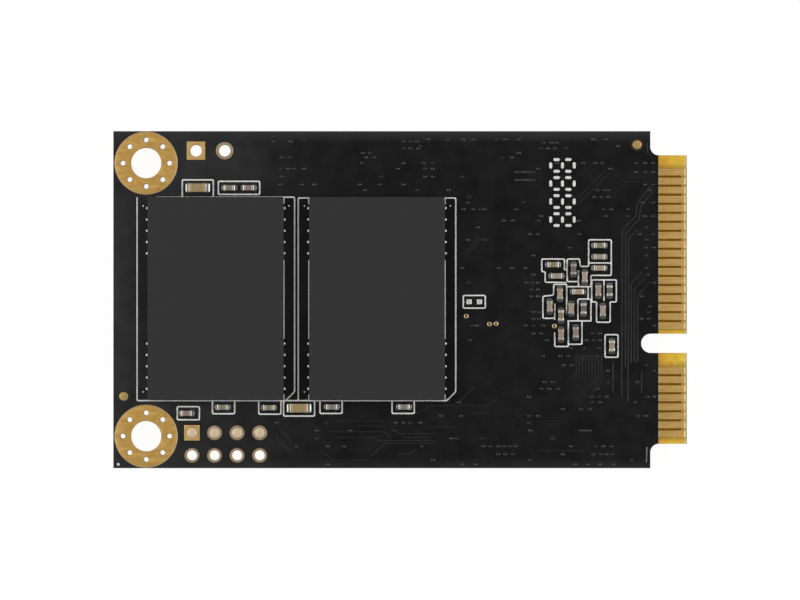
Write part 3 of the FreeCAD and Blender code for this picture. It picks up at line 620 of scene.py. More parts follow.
def maskSheet(name, side):
    # the board's own face, cut off at the contacts and thickened outwards
    level, way = boardSides[side]
    work = bmesh.new()
    work.from_mesh(nodes["circuit_board"].data)
    bmesh.ops.remove_doubles(work, verts=work.verts, dist=1e-7)
    flat = {face for face in work.faces
            if face.normal.z * way > 0.99 and abs(face.calc_center_median().z - level * mm) < 1e-6}
    bmesh.ops.delete(work, geom=[face for face in work.faces if face not in flat], context="FACES")
    bmesh.ops.bisect_plane(work, geom=work.verts[:] + work.edges[:] + work.faces[:], dist=1e-8,
                           plane_co=(contactStart * mm, 0, 0), plane_no=(1, 0, 0), clear_outer=True)
    grown = bmesh.ops.extrude_face_region(work, geom=work.faces[:], use_keep_orig=True)
    risen = [item for item in grown["geom"] if isinstance(item, bmesh.types.BMVert)]
    bmesh.ops.translate(work, verts=risen, vec=(0, 0, way * mask["thick"] * mm))
    mesh = bpy.data.meshes.new(name)
    work.to_mesh(mesh)
    work.free()
    addMesh(name, mesh, [bareMask], ())


board = nodes["circuit_board"].data
board.materials.clear()
board.materials.append(laminate)
maskSheet("solder_mask_top", "top")
maskSheet("solder_mask_under", "under")
print("board and solder mask done")

fingers = {  # mm
    "width": 0.62, "pitch": 0.8, "high": 0.04, "longBank": 18, "shortBank": 8,
    "heel": 0.02,
    # how far the tip is bent down, then distances from the tip and the share of that drop at each
    "drop": 0.0864,
    "bend": [(0.22, 0.0), (0.18, 0.0694), (0.02, 0.9), (0.0, 1.0)],
    # shares of the width and of the height
    "section": [(-0.5, 0.0), (-0.49, 0.85), (-0.475, 1.0), (0.475, 1.0), (0.49, 0.85), (0.5, 0.0)],
    "gapWidth": 0.17, "gapHigh": 0.008,
    "gapEnd": 0.43,            # the dark gap ribbon, painted shade, stops this far from the tip
    "crease": 12,
}


def fingerBank(name, node, side):
    # each finger is a bead with rounded shoulders that runs along the tab and bends down over the bevel
    low, high = nodeBox(node)
    first, last = low[1] + fingers["width"] / 2, high[1] - fingers["width"] / 2
    rows = np.concatenate([first + fingers["pitch"] * np.arange(fingers["shortBank"]),
                           last - fingers["pitch"] * np.arange(fingers["longBank"])])
    stations = [(low[0], 0.0), (low[0] + fingers["heel"], 0.0)]
    stations += [(high[0] - back, -share * fingers["drop"]) for back, share in fingers["bend"]]
    x, z = np.array(stations).T[:, :, None]
    offset, rise = np.array(fingers["section"]).T * [[fingers["width"]], [fingers["high"]]]
    plain = np.zeros((len(stations), len(offset)))
    shapes = [loft(np.stack([x + plain, y + offset + plain, z + rise], axis=-1)) for y in rows]
    addPiece(name, onFace(side, shapes), [hardGold], [node], fingers["crease"])
    rows = np.sort(rows)
    between = [(a + b) / 2 for a, b in zip(rows, rows[1:]) if b - a < 1.5 * fingers["pitch"]]
    # between neighbouring fingers a low dark brown ribbon: painted shade in the narrow gap
    gaps = [ribbon([(low[0], y), (high[0] - fingers["gapEnd"], y)], fingers["gapWidth"], 0.0,
                   fingers["gapHigh"]) for y in between]
    addPiece(name + "_gaps", onFace(side, gaps), [shadedLaminate])


fingerBank("gold_fingers_top", "edge_contacts_top", "top")
fingerBank("gold_fingers_under", "edge_contacts_under", "under")
print("contacts done")

land = {  # mm
    "high": 0.04, "edge": 0.012, "bore": 1.35, "barrelWall": 0.03, "crease": 15,
    "stitches": 8, "stitchBore": 0.225, "stitchRing": 2.065,
    # the bevelled rim of a screw land, in a paler gold that paints in its highlight
    "rimIn": 0.05, "rimWidth": 0.07, "rimLow": 0.03, "rimHigh": 0.046,
    "headerBore": 0.45, "headerHalf": 0.68, "jumperBore": 0.52, "jumperHalf": 0.81,
    "lap": 0.035,              # how far the mask comes in over a round land
    "sides": {"rim": 96, "bore": 64, "stitch": 20, "pin": 48, "barrel": 40},
}


def barrel(centre, bore):
    # a plated wall from face to face of the board: a thin rectangle carried round the hole
    low, high, outer = -boardThick - land["high"], land["high"], bore + land["barrelWall"]
    wall = [(bore, low), (outer, low), (outer, high), (bore, high)]
    return turned(wall, centre, land["sides"]["barrel"], closed=True)


def screwLand(node):
    # a wide ring on both faces with a bevelled rim in paler gold, a painted highlight, stitched through by
    # small plated holes
    centre, size, _ = footprint(node)
    rim, edge, sides = size[0] / 2, land["edge"], land["sides"]
    stitches = circle(centre, land["stitchRing"], land["stitches"])
    loops = [circle(centre, rim - edge, sides["rim"]), circle(centre, land["bore"] + edge, sides["bore"])]
    loops += [circle(stitch, land["stitchBore"] + edge, sides["stitch"]) for stitch in stitches]
    face = plate(loops, 0.0, land["high"], edge)
    barrels = [barrel(stitch, land["stitchBore"]) for stitch in stitches] + [barrel(centre, land["bore"])]
    bevel = ribbon(circle(centre, rim - land["rimIn"], sides["rim"]), land["rimWidth"], land["rimLow"],
                   land["rimHigh"], closed=True)
    shells = onFace("top", [face], barrels, [bevel]) + onFace("under", [face])
    addPiece(node.replace("_land", "_ring"), shells, [immersionGold, ringGold, rimHighlightGold], [node],
             land["crease"])


def pinLands(name, node, columns, rows, bore, half):
    # lands of plated holes in a grid, round but for the square one of the first pin
    low, high = nodeBox(node)
    xs = np.linspace(low[0] + half, high[0] - half, columns)
    ys = np.linspace(low[1] + half, high[1] - half, rows)
    corner = half - land["edge"]
    spots = [np.array((x, y)) for x in xs for y in ys]
    squares, rounds = [], []
    for number, spot in enumerate(spots):
        hole = circle(spot, bore + land["edge"], land["sides"]["barrel"])
        if number == rows - 1:  # the first pin is at the upper left
            outline, faces = frameRound(spot, spot, corner)[0], squares
        else:
            outline, faces = circle(spot, corner - land["lap"], land["sides"]["pin"]), rounds
        faces.append(plate([outline, hole], 0.0, land["high"], land["edge"]))
    barrels = [barrel(spot, bore) for spot in spots]
    shells = onFace("top", squares + barrels, rounds) + onFace("under", squares, rounds)
    addPiece(name, shells, [ringGold, pinGold], [node], land["crease"])
    return xs, ys


screwLand("upper_screw_land")
screwLand("lower_screw_land")
pinLands("jumper_rings", "jumper_lands", 2, 1, land["jumperBore"], land["jumperHalf"])
headerX, headerY = pinLands("header_rings", "header_lands", 4, 2, land["headerBore"], land["headerHalf"])
print("lands done")

plug = {"radius": 0.445, "crown": 0.05, "innermost": 0.08, "steps": 9, "sides": 40}


def solderPlugs():
    # each plug is a cylinder of solder with a low crown: height falls with the square of the radius
    share = np.linspace(1.0, plug["innermost"], plug["steps"])
    crown = [(plug["radius"] * s, land["high"] + plug["crown"] * (1 - s ** 2)) for s in share]
    profile = [(plug["radius"], -boardThick - land["high"])] + crown
    shapes = [turned(profile, (x, headerY[-1]), plug["sides"]) for x in headerX]
    addPiece("header_plugs", onFace("top", shapes), [plugTin], ["header_solder"])


solderPlugs()

small = {"terminal": 0.25, "reach": 0.21, "corner": 0.05, "swell": 0.013, "landMargin": 0.05,
         "landCorner": 0.12, "roll": 4}
large = {"terminal": 0.30, "reach": 0.28, "corner": 0.07, "swell": 0.0, "landMargin": 0.05,
         "landCorner": 0.06, "roll": 10}
chip = {  # what the small and the large kind share, mm
    "longestSmall": 1.3,
    "proud": 0.015,            # how far the tin ends stand out from the ceramic
    "bodyLow": 0.03, "bodyIn": 0.08, "capLow": 0.02,
    "bevel": 0.3,              # share of the corner, half way round the cap's end
    "slope": (22, 80),         # steepness of the solder at its foot and at the part, degrees
    "footHigh": 0.045,
    "wetting": 0.85,           # the solder rises to this share of the part's height at most
    "under": 0.1,              # how far it runs in under the cap
    "lip": (0.015, -0.01, 0.02),  # its thin lip: further out, narrower, height
}


def chipPart(node, ceramic):
    # ceramic block with wrapped tin ends, which swell a little; solder rises on each end as a hollow arc
    # from a land with rounded corners
    low, high = nodeBox(node)
    side = "top" if low[2] > boardLow[2] else "under"
    centre, extent = (low + high) / 2, high - low
    along = int(extent[1] > extent[0])
    half, wide, tall = extent[along] / 2, extent[1 - along] / 2, extent[2]
    kind = small if extent[along] < chip["longestSmall"] else large
    end, corner, reach = half - kind["terminal"], kind["corner"], kind["reach"]
    body = [(x, wide - chip["proud"], chip["bodyLow"], tall - chip["proud"])
            for x in (chip["bodyIn"] - half, half - chip["bodyIn"])]
    swell, bevel, capLow = kind["swell"], chip["bevel"] * corner, chip["capLow"]
    cap = [(end + share * (half - corner - end), wide, capLow, tall - swell * (2 * share - 1) ** 2)
           for share in np.linspace(0, 1, 6)]
    cap += [(half - inset[0], wide - inset[1], capLow, tall - swell - inset[1])
            for inset in ((bevel, bevel), (0.0, corner))]
    slope = np.radians(np.linspace(*chip["slope"], 9))
    radius = reach / (np.sin(slope[-1]) - np.sin(slope[0]))
    out = half + reach - radius * (np.sin(slope) - np.sin(slope[0]))
    rise = np.minimum(chip["footHigh"] + radius * (np.cos(slope[0]) - np.cos(slope)), tall * chip["wetting"])
    near = np.clip((half + reach - out) / kind["landCorner"], 0, 1)  # share of the land's corner radius
    flare = wide + kind["landMargin"] - kind["landCorner"] * (1 - np.sqrt(1 - (1 - near) ** 2))
    foot = [(half - chip["under"], flare[-1], rise[-1]), *zip(out[::-1], flare[::-1], rise[::-1]),
            (half + reach + chip["lip"][0], flare[0] + chip["lip"][1], chip["lip"][2])]
    caps = [roundedBar(np.array(cap) * (way, 1, 1, 1), corner) for way in (-1, 1)]
    feet = [solderFoot(np.array(foot) * (way, 1, 1), kind["roll"]) for way in (-1, 1)]
    groups = [[setDown(shape, centre, along) for shape in group]
              for group in ([roundedBar(body, corner)], caps, feet)]
    tins = (wideTin, wideSolder)
    if kind is small:
        # the listed parts get the paler ends, a painted highlight
        tins = (highlightTin if node in batches["highlightEnds"] else plateTin, solderTin)
    addPiece(node + "_part", onFace(side, *groups), [ceramic, *tins], [node])


batches = {  # parts of one batch of ceramic; the rest of the capacitors are tan
    "olive": ["core_capacitor_01", "core_capacitor_04", "core_capacitor_14", "flash_capacitor_4",
              "flash_capacitor_5"],
    "pink": ["core_capacitor_07", "core_capacitor_12", "core_capacitor_13"],
    "grey": ["core_capacitor_16", "flash_capacitor_1", "flash_capacitor_2", "flash_capacitor_3",
             "flash_capacitor_6", "flash_capacitor_7"],
    "mauve": ["core_capacitor_06"],
    "large": [node for node in nodes if "bulk_capacitor" in node or "output_capacitor" in node],
    # parts whose tin ends are painted paler: painted highlight
    "highlightEnds": ["core_resistor_1", "core_resistor_2", "core_capacitor_14", "core_capacitor_17"],
}
ceramics = {"olive": oliveCeramic, "pink": pinkCeramic, "grey": greyCeramic, "mauve": mauveCeramic,
            "large": bulkCeramic}
for node in sorted(nodes):
    batch = next((name for name in ceramics if node in batches[name]), None)
    if "capacitor" in node:
        chipPart(node, ceramics.get(batch, tanCeramic))
    elif "resistor" in node:
        chipPart(node, resistorGlaze)
print("small parts done")

balls = {  # pitch, radius, columns and rows
    "flash": (1.0, 0.22, range(-5, 6), [*range(-8, -2), *range(3, 9)]),
    "controller": (0.8, 0.20, np.arange(10) - 4.5, np.arange(10) - 4.5),
    "neck": 0.72,              # share of the radius that is left where a ball meets the board
    "sides": 10, "steps": 5,
}


def ballField(node, kind, side):
    # squashed balls in a grid: radius swells with the cosine of the height's share
    centre, _, tall = footprint(node)
    pitch, radius, columns, rows = balls[kind]
    share = np.linspace(-1, 1, balls["steps"])
    swell = balls["neck"] + (1 - balls["neck"]) * np.cos(share * np.pi / 2)
    profile = np.column_stack([radius * swell, (share + 1) / 2 * tall])
    shapes = [turned(profile, centre + pitch * np.array((column, row)), balls["sides"])
              for column in columns for row in rows]
    addPiece(node + "_full", onFace(side, shapes), [solderTin], [node])


package = {"laminate": 0.20, "corner": 0.08, "edge": 0.05, "sawn": 0.012, "crease": 25}


def mouldedPackage(node, side, epoxy):
    # a moulded body with a rounded upper edge, on a thin sawn laminate that stands out by a hair all round
    low, high = nodeBox(node)
    centre, size, _ = footprint(node)
    foot, head = sorted(abs(height - boardSides[side][0]) for height in (low[2], high[2]))
    seam, corner, sawn = foot + package["laminate"], package["corner"], package["sawn"]
    base = plinth(centre, size, foot, seam, corner, sawn)
    body = plinth(centre, size - 2 * sawn, seam - sawn, head, corner, package["edge"])
    addPiece(node + "_package", onFace(side, [base], [body]), [packageLaminate, epoxy], [node],
             package["crease"])


for which in ("left", "right"):
    mouldedPackage("flash_chip_" + which, "top", flashEpoxy)
    ballField("flash_balls_" + which, "flash", "top")
mouldedPackage("controller_chip", "under", chipEpoxy)
ballField("controller_balls", "controller", "under")
print("packages done")

coil = {"low": 0.06, "corner": 0.3, "edge": 0.10, "terminalIn": 0.28, "terminalLong": 0.62,
        "terminalShare": 0.72,     # of the block's width
        "terminal": (0.0, 0.22, 0.05, 0.04)}  # lowest, highest, corner and edge


def inductor(node):
    # pressed ferrite block with rounded corners, on a tin terminal at each end
    centre, size, tall = footprint(node)
    block = plinth(centre, size, coil["low"], tall, coil["corner"], coil["edge"])
    terminals = [plinth(centre + (way * (size[0] / 2 - coil["terminalIn"]), 0),
                        (coil["terminalLong"], size[1] * coil["terminalShare"]), *coil["terminal"])
                 for way in (-1, 1)]
    addPiece(node + "_block", onFace("under", [block], terminals), [ferrite, solderTin], [node])


leadless = {"low": 0.02, "corner": 0.05, "edge": 0.05, "pad": (0.26, 0.24), "padIn": 0.02,
            "padSteps": (-0.75, -0.25, 0.25, 0.75),  # along the side, from its middle
            "padForm": (0.0, 0.16, 0.03, 0.03)}  # lowest, highest, corner and edge


def regulator(node):
    # flat leadless package: moulded block with a row of tin pads showing along two sides
    centre, size, tall = footprint(node)
    block = plinth(centre, size, leadless["low"], tall, leadless["corner"], leadless["edge"])
    pads = [plinth(centre + (step, way * (size[1] / 2 - leadless["padIn"])), leadless["pad"],
                   *leadless["padForm"])
            for way in (-1, 1) for step in leadless["padSteps"]]
    addPiece(node + "_package", onFace("under", [block], pads), [regulatorEpoxy, solderTin], [node])


can = {"base": (0.02, 0.40, 0.15, 0.03),  # lowest, highest, corner and edge
       "lidSmaller": 0.4, "lidLow": 0.38, "lidCorner": 0.30, "lidEdge": 0.05,
       "padIn": (0.33, 0.43), "pad": (0.80, 1.0), "padForm": (0.0, 0.12, 0.06, 0.05)}


def crystal(node):
    # ceramic base with a seam-welded metal lid and solder at its four corners
    centre, size, tall = footprint(node)
    base = plinth(centre, size, *can["base"])
    lid = plinth(centre, size - can["lidSmaller"], can["lidLow"], tall, can["lidCorner"], can["lidEdge"])
    pads = [plinth(centre + (size / 2 - can["padIn"]) * (x, y), can["pad"], *can["padForm"])
            for x in (-1, 1) for y in (-1, 1)]
    addPiece(node + "_unit", onFace("under", [base], [lid], pads), [alumina, lidNickel, solderTin], [node])


for which in ("upper", "lower"):
    inductor(which + "_inductor")
    regulator(which + "_regulator")
crystal("crystal")
print("parts of the lower face done")

mark = {"radius": 0.385, "sides": 40,
        "inset": 0.43,             # from the corners of the node that holds both marks
        # the disc's rounded edge, how far in and at what height, and its flat middle
        "edge": [(0.0, 0.0), (0.0, 0.03), (0.01, 0.037), (0.025, 0.04), (0.285, 0.04)],
        "halo": 0.2, "haloHigh": 0.025}


def alignmentMarks():
    low, high = nodeBox("alignment_marks")
    spots = [low[:2] + mark["inset"], high[:2] - mark["inset"]]
    radius, outer, level = mark["radius"], mark["radius"] + mark["halo"], mask["thick"]
    disc = [(radius - inset, height) for inset, height in mark["edge"]]
    discs = [turned(disc, spot, mark["sides"]) for spot in spots]
    addPiece("gold_marks", onFace("top", discs), [markGold], ["alignment_marks"])
    halo = [(radius, level), (outer, level), (outer, mark["haloHigh"]), (radius, mark["haloHigh"])]
    halos = [turned(halo, spot, mark["sides"], closed=True) for spot in spots]
    addPiece("mark_surrounds", onFace("top", halos), [markSurround])


openVia = {"ring": 0.22, "bore": 0.10, "high": 0.05, "sides": 28,
           "floor": 0.03,          # the hole ends in resin at this height
           "floorMiddle": 0.02,
           "spots": [(5.86, -1.46), (7.91, -2.17), (8.50, -2.13), (13.66, -2.34)]}


def openVias():
    # small vias that the mask leaves open: the gold ring's section is half an ellipse, and the ring takes the
    # paler rim gold, a painted highlight
    bore, outer, floor = openVia["bore"], openVia["ring"], openVia["floor"]
    ring = [((bore + outer + share * (outer - bore)) / 2, openVia["high"] * np.sqrt(1 - share ** 2))
            for share in np.linspace(-1, 1, 6)]
    resin = [(bore, 0.0), (bore, floor), (openVia["floorMiddle"], floor)]
    rings = [turned(ring, spot, openVia["sides"], closed=True) for spot in openVia["spots"]]
    # the resin floors take the dark brown laminate: painted shade in the bore
    floors = [turned(resin, spot, openVia["sides"]) for spot in openVia["spots"]]
    addPiece("open_via_rings", onFace("top", rings, floors), [rimHighlightGold, shadedLaminate], ())


site = {"pad": (0.0, 0.05, 0.06, 0.03)}  # lowest, highest, corner and edge


def emptySite():  # two square pads
    low, high = nodeBox("empty_part_pads")
    centre, (_, side), _ = footprint("empty_part_pads")
    pads = [plinth((x, centre[1]), (side, side), *site["pad"])
            for x in (low[0] + side / 2, high[0] - side / 2)]
    addPiece("empty_site_pads", onFace("top", pads), [padTin], ["empty_part_pads"])


spare = {"width": 0.26, "rows": [4, 5, 6, 7, 8], "out": 0.05, "outFar": 0.07, "high": 0.05,
         "dotWidth": 0.18, "dotLeft": 0.41, "dotRight": 0.47, "dotDown": 0.79, "dotUp": 0.73}


def sparePads():
    # tinned pads of a wider package that just show past the sides of the flash packages, and small dots
    # near three of its corners
    shapes = []
    for which in ("left", "right"):
        low, high = nodeBox("flash_chip_" + which)
        middle = (low[1] + high[1]) / 2
        left = low[0] - spare["outFar" if which == "left" else "out"]
        spots = [(x, middle + way * row) for row in spare["rows"] for way in (1, -1)
                 for x in (left, high[0] + spare["out"])]
        dots = [(low[0] - spare["dotLeft"], high[1] - spare["dotDown"]),
                (high[0] + spare["dotRight"], high[1] - spare["dotDown"]),
                (low[0] - spare["dotLeft"], low[1] + spare["dotUp"])]
        for places, width in ((spots, spare["width"]), (dots, spare["dotWidth"])):
            shapes += [dab(place, width, width, 0.0, spare["high"]) for place in places]
    addPiece("spare_pads", onFace("top", shapes), [padTin], ())


alignmentMarks()
openVias()
emptySite()
sparePads()
print("bare copper done")

legend = {  # mm
    "line": 0.126, "low": mask["thick"], "high": 0.036, "corner": 0.12,
    "cornerMost": 0.45,        # a corner takes at most this share of its shorter side
    "lift": 0.0003,            # how much higher each stroke is than the last, so that no two lie in one plane
    "packageOut": 0.97, "packageCut": 0.80, "packageFoot": 0.045,
    "packageTop": {"left": -0.025, "right": -0.10},
    "landCut": 1.70,           # the left outline is trimmed this far from its corner by the screw land
    "sideOut": 0.015, "sideEnd": 0.55, "sideMiddle": 3.5,
    "smallMargin": (0.48, 0.33), "largeMargin": (0.57, 0.31), "emptyMargin": (0.285, 0.33),
    "underMargin": (0.37, 0.25),
    # frames that are printed a little to one side of their parts, along X
    "askew": {"flash_capacitor_3": 0.16, "flash_capacitor_4": 0.08, "flash_capacitor_5": 0.08,
              "flash_capacitor_6": -0.07, "flash_capacitor_7": -0.08},
    "dateMiddle": (14.38, 9.49), "dateDigits": 4, "datePitch": 1.60, "dateDash": (0.56, 0.26),
    "dateStep": 0.52,
    "cornerDot": (-24.97, -14.58), "dotWidth": 0.25,
    # lines between the small parts over the controller, from its middle
    "coreLines": [
        [(0.95, 0.65), (0.95, 1.65), (2.75, 1.65), (2.75, 4.80), (0.75, 4.80), (0.75, 2.45), (0.0, 2.45),
         (-0.05, 3.10), (-1.15, 3.10), (-1.15, 1.10), (-0.20, 1.10)],
        [(0.75, 2.75), (2.75, 2.75)],
        [(-0.15, 2.10), (-0.15, 0.65)],
        [(-1.20, 2.15), (-1.40, 2.15), (-1.40, 3.10), (-3.40, 3.10), (-3.40, 2.00), (-3.10, 1.95),
         (-3.10, 1.05), (-1.20, 1.00)],
        [(-1.20, -1.80), (-1.20, 0.85), (-2.35, 0.85), (-2.35, -0.10), (-3.30, -0.20), (-3.30, -2.15),
         (-2.30, -2.15)],
        [(-2.25, -0.85), (-2.25, -2.30)],
        [(-1.20, 0.65), (1.00, 0.65)],
        [(0.70, 0.60), (0.70, -0.40)],
        [(-0.20, -2.30), (-0.20, -0.45), (0.95, -0.45), (0.95, -2.30)],
        [(-1.15, -2.38), (1.00, -2.38)],
        [(2.10, 1.20), (2.10, -0.60)],
        [(-2.25, -3.40), (-2.25, -4.65), (-1.05, -4.65), (-1.05, -2.45)],
        [(-1.05, -4.45), (0.15, -4.45), (0.15, -2.40)],
    ],
    "coreLoops": [
        [(1.02, 1.25), (3.20, 1.25), (3.20, -0.70), (2.65, -0.70), (2.65, -2.50), (1.45, -2.50),
         (1.45, -0.70), (1.02, -0.70)],
        [(2.20, -3.60), (3.35, -3.60), (3.35, -5.60), (2.20, -5.60)],
    ],
}


def roundCorners(path, closed):
    # each corner becomes a parabola that leaves one side and joins the other at the same distance from it
    path = np.asarray(path, float)
    ahead, behind = np.roll(path, -1, axis=0) - path, np.roll(path, 1, axis=0) - path
    lengths = np.linalg.norm([ahead, behind], axis=-1)
    radius = np.minimum(legend["corner"], legend["cornerMost"] * lengths.min(axis=0))[:, None, None]
    join, leave = (ahead / lengths[0][:, None])[:, None], (behind / lengths[1][:, None])[:, None]
    share = np.linspace(0, 1, 4)[None, :, None]
    bends = path[:, None] + radius * ((1 - share) ** 2 * leave + share ** 2 * join)
    if closed:
        return bends.reshape(-1, 2)
    return np.concatenate([path[:1], bends[1:-1].reshape(-1, 2), path[-1:]])


def printLegend(name, strokes, dabs, side):  # strokes: a path in plan, and whether it is closed
    shapes = [ribbon(roundCorners(path, closed), legend["line"], legend["low"],
                     legend["high"] + number * legend["lift"], closed)
              for number, (path, closed) in enumerate(strokes)]
    shapes += [dab(centre, length, width, legend["low"], legend["high"]) for centre, length, width in dabs]
    addPiece(name, onFace(side, shapes), [ink])


def packageEnds(which):  # heights along Y of a package's printed outline
    low, high = nodeBox("flash_chip_" + which)
    return low[1] - legend["packageFoot"], high[1] + legend["packageTop"][which]


def packageStrokes(which):
    # a wide outline with one corner cut off, and the package's own sides where no pad breaks them
    low, high = nodeBox("flash_chip_" + which)
    foot, top = packageEnds(which)
    left, right, cut = low[0] - legend["packageOut"], high[0] + legend["packageOut"], legend["packageCut"]
    outline = [(left, top), (left, foot), (right - cut, foot), (right, foot + cut), (right, top)]
    if which == "left":
        outline.append((left + legend["landCut"], top))
    strokes = [(outline, which == "right")]
    sides = [high[0] + legend["sideOut"]] + ([low[0] - legend["sideOut"]] if which == "right" else [])
    for x in sides:
        for a, b in ((top, top - legend["sideEnd"]), (legend["sideMiddle"], -legend["sideMiddle"]),
                     (foot + legend["sideEnd"], foot)):
            strokes.append(([(x, a), (x, b)], False))
    return strokes


def capacitorStrokes():
    # a frame round each capacitor beside the packages; most stand on a package's outline, open towards it
    foot, top = packageEnds("left")
    strokes = []
    for node in ("flash_capacitor_3", "flash_capacitor_4", "flash_capacitor_5", "flash_capacitor_6",
                 "flash_capacitor_7", "bulk_capacitor_1", "bulk_capacitor_2"):
        margin = np.array(legend["largeMargin" if "bulk" in node else "smallMargin"])
        aside = np.array((legend["askew"].get(node, 0.0), 0.0))
        corners, closed = frameRound(*[corner[:2] + aside for corner in nodeBox(node)], margin)
        (x0, y0), (x1, y1) = corners[0], corners[2]
        if node == "bulk_capacitor_1":
            strokes.append(([(x0, top), (x0, y1), (x1, y1), (x1, top)], False))
        elif node == "flash_capacitor_3":
            strokes.append((corners, closed))
        else:
            strokes.append(([(x0, foot), (x0, y0), (x1, y0), (x1, foot)], "bulk" in node))
    pair = nodeBox("flash_capacitor_1")[0], nodeBox("flash_capacitor_2")[1]
    return strokes + [frameRound(*pair, np.array(legend["smallMargin"]))]


def dateDabs():
    # blank date digits, every bar printed, read from the card's lower edge upwards
    long, wide = legend["dateDash"]
    step, digits = legend["dateStep"], legend["dateDigits"]
    dabs = []
    for digit in range(digits):
        x, y = legend["dateMiddle"] + np.array((0.0, (digit - (digits - 1) / 2) * legend["datePitch"]))
        dabs += [((x + 2 * k * step, y), wide, long) for k in (-1, 0, 1)]
        dabs += [((x + a * step, y + b * step), long, wide) for a in (-1, 1) for b in (-1, 1)]
    return dabs


def topLegend():
    strokes = packageStrokes("left") + packageStrokes("right") + capacitorStrokes()
    strokes.append(frameRound(*nodeBox("empty_part_pads"), np.array(legend["emptyMargin"])))
    core = footprint("controller_chip")[0]
    strokes += [(np.array(path) + core, False) for path in legend["coreLines"]]
    strokes += [(np.array(path) + core, True) for path in legend["coreLoops"]]
    dot = (legend["cornerDot"], legend["dotWidth"], legend["dotWidth"])
    printLegend("legend_top", strokes, dateDabs() + [dot], "top")


def underLegend():
    framed = ("upper_regulator", "lower_regulator", "upper_inductor", "lower_inductor", "crystal",
              "controller_chip")
    strokes = [frameRound(*nodeBox(node), np.array(legend["underMargin"])) for node in framed]
    printLegend("legend_under", strokes, [], "under")


topLegend()
underLegend()
print("legend done")

